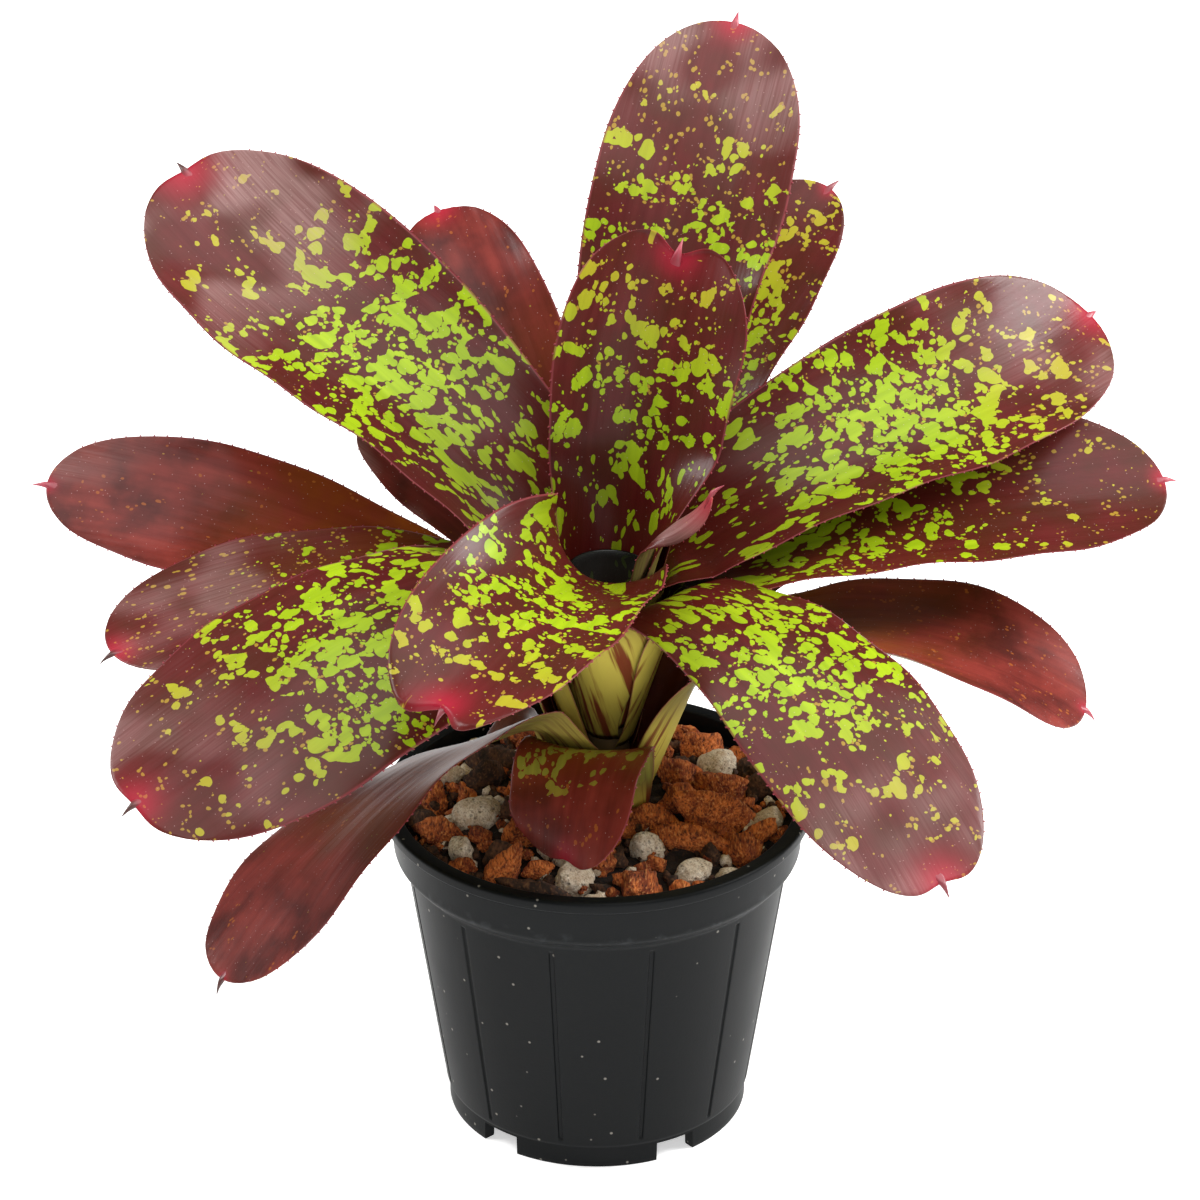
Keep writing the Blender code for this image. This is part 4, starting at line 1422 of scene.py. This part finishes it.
@dataclass(frozen=True)
class LeafHorn(Finish):
    """Horny tissue of spines and teeth: dull and hard, red at its root and darker to the point."""

    name: str = "horny leaf spine"
    root: str = "#8e1c30"
    pink: str = "#b8485a"
    black: str = "#2a221a"
    grain: str = "#6c2c2c"

    def surface(self, add: Adder) -> Inputs:
        """Colours by the marks "ripe", along the spine, and "dark", for its kind.

        Args:
            add: adds a node.

        Returns:
            The shader's inputs.
        """
        ripe, dark = (add(MARK, out="Fac", attribute_name=name) for name in ("ripe", "dark"))
        point = add(MIX, {0: dark, 6: self.pink, 7: self.black}, **COLOUR)
        share = add(RANGE, {0: ripe, 1: 0.25, 2: 0.6}, **SOFT)
        colour = add(MIX, {0: share, 6: self.root, 7: point}, **COLOUR)
        grain = add(NOISE, {"Vector": add(PLACE, out="Object"), "Scale": per_metre(0.66667)})
        grain = add(MATH, {0: grain, 1: 0.6}, **TIMES)
        return {
            "Base Color": add(MIX, {0: grain, 6: colour, 7: self.grain}, **COLOUR),
            "Roughness": 0.4,
        }


@dataclass(frozen=True)
class MixMatter(Finish):
    """Rough plant matter or stone: two tones by noise, light grains, painted shade in the creases and a matt
    face.

    Sizes are in millimetres: grain is a fine grain's, bump the height of the relief, and stretch how
    long the grains lie. Pitted stone has holes of pit_size apart.
    """

    dark: str
    light: str
    tip: str
    grain: float
    stretch: float
    bump: float
    roughness: float = 0.9
    # Painted shade in the hollows of the relief.
    hollow_shade: str = "#1c0e08"
    pits: bool = False
    pit_size: float = 2.0
    pit_shade: str = "#4a4238"

    def surface(self, add: Adder) -> Inputs:
        """Tones on Object coordinates, moved by the mark "tone" of each lump.

        Args:
            add: adds a node.

        Returns:
            The shader's inputs.
        """
        place = add(PLACE, out="Object")
        turn = {"Vector": place, "Rotation": (0.4, 0.7, 0.9), "Scale": (1.0, self.stretch, 1.0)}
        turned_place = add("ShaderNodeMapping", turn)
        coarse, fine = (
            add(NOISE, {"Vector": turned_place, "Scale": per_metre(size), "Detail": detail})
            for size, detail in ((4.0 * self.grain, 4.0), (self.grain, 3.0))
        )
        share = add(RANGE, {0: coarse, 1: 0.35, 2: 0.65})
        share = add(MATH, {0: add(MARK, out="Fac", attribute_name="tone"), 1: 0.5, 2: share}, **TIMES_PLUS)
        share = add(MATH, {0: share, 1: 0.25}, **LESS, use_clamp=True)
        colour = add(MIX, {0: share, 6: self.dark, 7: self.light}, **COLOUR)
        tips = add(RANGE, {0: fine, 1: 0.55, 2: 0.75})
        tips = add(MATH, {0: tips, 1: 0.6}, **TIMES)
        colour = add(MIX, {0: tips, 6: colour, 7: self.tip}, **COLOUR)
        # Painted shade darkens the hollows, where the fine noise that also raises the relief is low.
        hollow_shade = add(RANGE, {0: fine, 1: 0.34, 2: 0.48, 3: 0.75, 4: 0.0})
        colour = add(MIX, {0: hollow_shade, 6: colour, 7: self.hollow_shade}, **COLOUR)
        height = fine
        if self.pits:
            hole = add(CELLS, {"Vector": place, "Scale": per_metre(self.pit_size)}, "Distance")
            hole = add(RANGE, {0: hole, 1: 0.12, 2: 0.28}, **SOFT)
            shade = add(RANGE, {0: hole, 3: 0.45, 4: 1.0})
            colour = add(MIX, {0: shade, 6: self.pit_shade, 7: colour}, **COLOUR)
            height = add(MATH, {0: hole, 1: 1.5, 2: fine}, **TIMES_PLUS)
        relief = add(BUMP, {"Strength": 0.8, "Distance": self.bump * MM, "Height": height})
        return {"Base Color": colour, "Normal": relief, "Roughness": self.roughness}


@dataclass(frozen=True)
class MouldedPolypropylene(Finish):
    """Charcoal polypropylene, moulded: satin and faintly pebbled, with dust and pale scuffs."""

    name: str = "moulded polypropylene"
    charcoal: str = "#090b0c"
    lighter: str = "#0e1011"
    worn: str = "#2c2e30"
    dust: str = "#9a958c"
    gloss: float = 0.10
    # Heights in millimetres where the scuffs at the collar's foot fade in, and where they fade out.
    scuffs_from: tuple[float, float] = (82.5, 85.5)
    scuffs_to: tuple[float, float] = (87.0, 90.0)

    def surface(self, add: Adder) -> Inputs:
        """Soft clouds, scuffs where the collar turns in, dust specks, and the mould's texture.

        Args:
            add: adds a node.

        Returns:
            The shader's inputs.
        """
        place = add(PLACE, out="Object")
        height = add("ShaderNodeSeparateXYZ", {0: place}, 2)
        cloud = add(NOISE, {"Vector": place, "Scale": per_metre(22.222), "Detail": 4.0})
        colour = add(MIX, {0: cloud, 6: self.charcoal, 7: self.lighter}, **COLOUR)
        start, full = (height_mm * MM for height_mm in self.scuffs_from)
        less, end = (height_mm * MM for height_mm in self.scuffs_to)
        over = add(RANGE, {0: height, 1: start, 2: full}, **SOFT)
        below = add(RANGE, {0: height, 1: less, 2: end, 3: 1.0, 4: 0.0})
        scuff = add(NOISE, {"Vector": place, "Scale": per_metre(3.8462), "Detail": 5.0})
        scuff = add(RANGE, {0: scuff, 1: 0.55, 2: 0.75})
        scuff = add(MATH, {0: scuff, 1: add(MATH, {0: over, 1: below}, **TIMES)}, **TIMES)
        colour = add(MIX, {0: scuff, 6: colour, 7: self.worn}, **COLOUR)
        speck = add(CELLS, {"Vector": place, "Scale": per_metre(6.25)}, "Distance")
        speck = add(RANGE, {0: speck, 1: 0.05, 2: 0.085, 3: 0.55, 4: 0.0})
        pebble = add(NOISE, {"Vector": place, "Scale": per_metre(0.625), "Detail": 2.0})
        return {
            "Base Color": add(MIX, {0: speck, 6: colour, 7: self.dust}, **COLOUR),
            "Normal": add(BUMP, {"Strength": 0.25, "Distance": 0.12 * MM, "Height": pebble}),
            "Roughness": add(RANGE, {0: cloud, 3: 0.38, 4: 0.48}),
            "Specular IOR Level": self.gloss,
        }


@dataclass(frozen=True)
class PlainMatter(Finish):
    """One mottled colour, for what is hardly seen: corky stem, and the dark still water of the cup."""

    code: str
    roughness: float
    ior: float = 1.45

    def surface(self, add: Adder) -> Inputs:
        """A fifth more and less light in soft clouds.

        Args:
            add: adds a node.

        Returns:
            The shader's inputs.
        """
        cloud = {"Vector": add(PLACE, out="Object"), "Scale": per_metre(3.3333), "Detail": 3.0}
        dim, lit = ((*(gain * part for part in linear(self.code)[:3]), 1.0) for gain in (0.8, 1.2))
        colour = add(MIX, {0: add(NOISE, cloud), 6: dim, 7: lit}, **COLOUR)
        return {"Base Color": colour, "Roughness": self.roughness, "IOR": self.ior}


@dataclass(frozen=True)
class StudioFloor(Finish):
    """Matt white sweep that glows a little, so that it stays pale under soft light."""

    name: str = "matt studio floor"

    def surface(self, add: Adder) -> Inputs:
        """Even all over.

        Args:
            add: adds a node.

        Returns:
            The shader's inputs.
        """
        return {
            "Base Color": "#f6f6f6",
            "Roughness": 0.9,
            "Emission Color": "#ffffff",
            "Emission Strength": 0.5,
        }


# Whole plant

FORMS = (
    LeafForm("leaf_hanging_front", 0, -103, 80, 45, 31, 19, 12, -77, -6, -2, 15, 20, 4, 0.88, 2),
    LeafForm("leaf_drooping_front_left", 1, -143, 165, 60, 31, 10, 25, -42, -14, 5, 40, -33, 1, 0.67),
    LeafForm("leaf_old_right", 2, -5, 169, 63, 37, 34, 26, -37, 2, 0, -24, 35, 24, 0.72),
    LeafForm("leaf_low_back_right", 3, 41, 171, 48, 36, 30, 23, -7, -2, -5, 0, 0, 16, 0.69),
    LeafForm("leaf_old_left", 4, 162, 197, 51, 37, 26, 18, 9, -1, 16, 1, -37, 21, 0.60),
    LeafForm("leaf_low_back", 5, 106, 140, 48, 42, 32, 26, -2, -2, 7, 0, 0, 16, 0.68),
    LeafForm("leaf_narrow_left", 6, 136, 130, 33, 41, 32, 35, 26, -5, 21, -11, -15, 18, 0.72),
    LeafForm("leaf_middle_left", 7, -177, 178, 63, 44, 28, 26, -12, -11, 26, -3, 1, 11, 0.57),
    LeafForm("leaf_back_left", 8, 121, 175, 43, 44, 23, 51, 13, 16, -12, -10, -7, 30, 0.56),
    LeafForm("leaf_back_right", 9, 66, 185, 45, 42, 15, 58, 32, -6, -28, 3, 20, 30, 0.32),
    LeafForm("leaf_lower_right", 10, 12, 201, 59, 43, 22, 21, -1, -6, 5, 15, 14, 31, 0.75),
    LeafForm("leaf_large_front_left", 11, -142, 201, 74, 39, 26, 35, -22, -18, -5, -13, -8, -13, 0.78, 2),
    LeafForm("leaf_large_front_right", 12, -49, 192, 58, 37, 27, 38, -34, -21, -9, 0, 14, -12, 0.64, 3),
    LeafForm("leaf_large_upper_left", 13, 146, 220, 71, 45, 17, 56, 31, -20, -15, -11, -16, 27, 0.71, 2),
    LeafForm("leaf_large_right", 14, 22, 210, 62, 43, 9, 37, 6, -10, 31, 21, 17, 33, 0.72),
    LeafForm("leaf_tall_back", 15, 69, 207, 59, 60, 24, 64, 40, -2, 3, -2, 17, 19, 0.73),
    LeafForm("leaf_cup_front", 16, -107, 160, 57, 38, 15, 44, -15, -12, -20, -39, 38, 76, 0.90, 8, 51),
    LeafForm("leaf_cup_back", 17, 65, 134, 58, 44, 22, 87, 54, -2, -10, 12, 12, 37, 0.86, 6),
    LeafForm("leaf_young_rolled", 18, -35, 79, 10, 45, 11, 40, 62, -10, 7, 40, -12, -75, 1.0),
)

# Two patches of spots that some leaves share.
WIDE = Patch(0.60, 0.0, 0.30, 0.95, 0.55)
UPPER = Patch(0.68, 0.0, 0.25, 0.9, 0.4)

LOOKS = {
    "leaf_hanging_front": LeafLook(
        Tip.NONE, 0.6, (Patch(0.5, 0.1, 0.16, 1.3, 1.0),), bloom=0.35, bloom_and_sheen_from=0.85
    ),
    "leaf_drooping_front_left": LeafLook(Tip.DARK, 1.0, flecks=0.1, blush=2.0),
    "leaf_old_right": LeafLook(Tip.PINK, 1.0, blush=3.0),
    "leaf_low_back_right": LeafLook(Tip.DARK, 0.8, blush=3.0),
    "leaf_old_left": LeafLook(Tip.PINK, 1.0, flecks=0.15, blush=3.0, bloom=0.35, bloom_and_sheen_from=0.8),
    "leaf_low_back": LeafLook(Tip.DARK, 0.8, blush=3.0),
    "leaf_narrow_left": LeafLook(Tip.NONE, 0.5, flecks=0.0, blush=2.0, bloom=0.45, bloom_and_sheen_from=0.1),
    "leaf_middle_left": LeafLook(
        Tip.DARK, 0.3, (Patch(0.45, 0.0, 0.25, 1.3, 0.45),), 0.0, 0.4, 7.0, 0.3, 0.55
    ),
    "leaf_back_left": LeafLook(Tip.PINK, 0.9, blush=6.0),
    "leaf_back_right": LeafLook(Tip.OLIVE, 0.2, (WIDE, UPPER), 0.05, 0.3, 3.0),
    "leaf_lower_right": LeafLook(Tip.PINK, 0.1, (Patch(0.45, 0.1, 0.26, 1.2, 0.75),), 0.04, 0.3, 4.0),
    "leaf_large_front_left": LeafLook(
        Tip.DARK,
        0.0,
        (Patch(0.45, 0.1, 0.22, 1.4, 0.7), Patch(0.64, 0.0, 0.18, 1.2, 0.4)),
        *(0.05, 0.35, 8.0, 0.3, 0.7),
    ),
    "leaf_large_front_right": LeafLook(
        Tip.OLIVE, 0.0, (Patch(0.53, 0.1, 0.28, 1.4, 0.8),), 0.05, 0.3, 8.0, 0.35, 0.65
    ),
    "leaf_large_upper_left": LeafLook(
        Tip.DARK, 0.0, (Patch(0.52, -0.1, 0.24, 1.3, 0.8),), 0.06, 0.2, 9.0, 0.5, 0.62
    ),
    "leaf_large_right": LeafLook(
        Tip.PINK, 0.0, (Patch(0.58, -0.1, 0.26, 1.3, 0.8),), 0.1, 0.3, 8.0, 0.35, 0.7
    ),
    "leaf_tall_back": LeafLook(
        Tip.PINK, 0.0, (Patch(0.60, 0.0, 0.2, 1.4, 0.5),), 0.03, 0.45, 6.0, 0.4, 0.7
    ),
    "leaf_cup_front": LeafLook(Tip.OLIVE, 0.0, (Patch(0.58, 0.0, 0.30, 1.4, 0.5),), 0.18, 0.3, 7.5, curl=1.5),
    "leaf_cup_back": LeafLook(Tip.PINK, 0.0, (Patch(0.62, 0.0, 0.18, 1.4, 0.3),), 0.24, 0.2, 6.0, curl=-1.0),
    "leaf_young_rolled": LeafLook(Tip.PINK, flecks=0.0, blush=13.0, bloom=0.55, bloom_and_sheen_from=0.2),
}

# The lumps that show in front, each with its place and its half sizes.
LUMPS = tuple(
    Lump(kind, *row)
    for kind, rows in (
        (
            Kind.STONE,
            (
                (-35.9, -4.9, 8.2, 6.6),
                (-39.7, -25.0, 5.4, 4.8),
                (-6.4, -42.5, 8.2, 5.4),
                (14.3, -25.6, 6.2, 6.6),
                (27.7, -36.3, 6.8, 4.6),
                (36.1, 24.5, 7.2, 7.0),
                (50.6, -4.9, 6.6, 4.8),
            ),
        ),
        (
            Kind.HUSK,
            (
                (-48.4, 5.0, 6.5, 5.0),
                (-45.5, -15.0, 6.0, 4.8),
                (-28.1, -38.2, 7.0, 5.2),
                (-22.3, -18.2, 7.0, 5.5),
                (12.4, -45.3, 7.0, 5.0),
                (26.5, -20.3, 7.2, 6.0),
                (35.2, -6.8, 9.2, 7.5),
                (42.3, -25.6, 6.8, 5.2),
                (31.8, 35.1, 7.0, 6.0),
            ),
        ),
        (Kind.BARK, ((-33.9, 16.3, 6.5, 5.5), (-28.4, -28.8, 5.0, 4.4))),
    )
    for row in rows
)


@dataclass
class Bromeliad:
    """The rosette: leaves, the stem they stand on and the water in their cup."""

    forms: tuple[LeafForm, ...] = FORMS
    old_from: float = 0.35
    # Radius and height, from the top centre to the bottom centre.
    stem_profile: tuple[tuple[float, float], ...] = (
        *((0.0, 140.0), (1.88, 139.9), (10.88, 91.0)),
        *((10.08, 76.0), (7.68, 72.2), (0.0, 72.0)),
    )
    water_profile: tuple[tuple[float, float], ...] = (
        *((0.0, 172.6), (8.0, 172.6), (10.2, 172.75), (11.2, 173.1)),
        *((11.5, 173.3), (11.3, 172.4), (4.2, 145.0), (0.0, 145.0)),
    )

    def build(self) -> None:
        """Builds every leaf, then the stem and the water."""
        horn = LeafHorn().build()
        young, old = LeafTissue().build(), OLD_TISSUE.build()
        for number, form in enumerate(self.forms):
            look = LOOKS[form.node]
            faded = look.old > self.old_from
            made = Leaf(form, look, number).build(old if faded else young, horn)
            settle(made, "old_leaf" if faded else "spotted_leaf", form.node)
        self.stem()
        self.water()

    def stem(self) -> None:
        """Turns the stem: a blunt cone from its foot in the mix to its tip in the nest."""
        finish = PlainMatter("corky stem", "#6a5638", 0.85).build()
        settle(turned("stem_core", self.stem_profile, 48, finish), "stem", "stem")

    def water(self) -> None:
        """Turns the water: a cone with a raised rim where it climbs the leaves."""
        finish = PlainMatter("tank water", "#080a07", 0.02, 1.33).build()
        settle(turned("cup_water", self.water_profile, 64, finish), "water", "tank_water")


@dataclass
class Studio:
    """Plain floor, soft lights and the camera."""

    target: tuple[float, float, float] = (0.83, 0.0, 166.2)
    distance: float = 1560.0
    elevation: float = 27.5
    focal: float = 161.73
    sensor: float = 36.0
    floor_reach: float = 4000.0
    sky: float = 0.18
    # Place and size of each softbox in millimetres, and its power in watts.
    lights: tuple[tuple[str, tuple[float, float, float], float, float], ...] = (
        ("softbox_left", (-1150.0, 150.0, 1050.0), 600.0, 17.0),
        ("softbox_right", (1250.0, 200.0, 950.0), 600.0, 27.0),
        ("overhead", (250.0, -100.0, 1700.0), 1500.0, 30.0),
        ("fill", (150.0, -1500.0, 600.0), 1000.0, 6.0),
    )

    def build(self) -> None:
        """Builds the floor, the camera, the sky and the lights."""
        corners = np.array([[-1.0, -1.0, 0.0], [1.0, -1.0, 0.0], [1.0, 1.0, 0.0], [-1.0, 1.0, 0.0]])
        gathered = Pieces()
        gathered.add(corners * self.floor_reach, [[0, 1, 2, 3]])
        gathered.make("floor", [StudioFloor().build()])
        self.camera()
        world = bpy.data.worlds.new("studio")
        bpy.context.scene.world = world
        world.use_nodes = True
        back = world.node_tree.nodes["Background"]
        back.inputs[0].default_value = linear("#ffffff")
        back.inputs[1].default_value = self.sky
        for row in self.lights:
            self.light(*row)
        bpy.context.scene.view_settings.view_transform = "Standard"

    def camera(self) -> None:
        """Points the camera at the target from the front, raised by the elevation."""
        lift = math.radians(self.elevation)
        data = bpy.data.cameras.new("camera")
        data.sensor_width = self.sensor
        data.lens = self.focal
        made = bpy.data.objects.new("camera", data)
        back = np.array([0.0, -self.distance * math.cos(lift), self.distance * math.sin(lift)])
        made.location = (np.array(self.target) + back) * MM
        made.rotation_euler = (math.radians(90.0 - self.elevation), 0.0, 0.0)
        bpy.context.scene.collection.objects.link(made)
        bpy.context.scene.camera = made

    def light(self, name: str, place: tuple[float, float, float], size: float, power: float) -> None:
        """Hangs a square area light that faces the plant.

        Args:
            name: of the light.
            place: its centre in millimetres.
            size: its side in millimetres.
            power: in watts.
        """
        data = bpy.data.lights.new(name, "AREA")
        data.size = size * MM
        data.energy = power
        made = bpy.data.objects.new(name, data)
        way = np.array(self.target) - np.array(place)
        level = math.hypot(way[0], way[1])
        made.location = [value * MM for value in place]
        made.rotation_euler = (math.atan2(level, -way[2]), 0.0, math.atan2(way[1], way[0]) - math.pi / 2.0)
        bpy.context.scene.collection.objects.link(made)


def main() -> None:
    """Builds the model over the frame."""
    logging.basicConfig(level=logging.INFO, format="%(name)s %(message)s")
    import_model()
    Bromeliad().build()
    # Husk shows long pale fibres, bark dark plates, pumice pale pitted faces and clay a fine red grain.
    # The dust between the lumps is nearly black, as it lies wet and in their shade.
    pumice_tones = ("#ccb49a", "#ecdfcc", "#f8eede")
    finishes = {
        Kind.HUSK: MixMatter("coco husk", "#843818", "#d87434", "#f6b46c", 0.6, 0.2, 1.0).build(),
        Kind.BARK: MixMatter("pine bark", "#2a1a12", "#5c3a26", "#86603e", 0.7, 0.3, 0.4).build(),
        Kind.STONE: MixMatter("pumice", *pumice_tones, 0.5, 1.0, 0.4, hollow_shade="#a08c74", pits=True).build(),
        Kind.PEBBLE: MixMatter("fired clay", "#5a3a28", "#8a5a3c", "#a07050", 0.5, 1.0, 0.2).build(),
    }
    dust = MixMatter("peat and bark dust", "#120c09", "#2e1c12", "#4c2c1a", 0.6, 1.0, 0.6).build()
    PottingMix(lumps=LUMPS).build(finishes, dust)
    NurseryPot().build(MouldedPolypropylene().build())
    Studio().build()


if __name__ == "__main__":
    main()
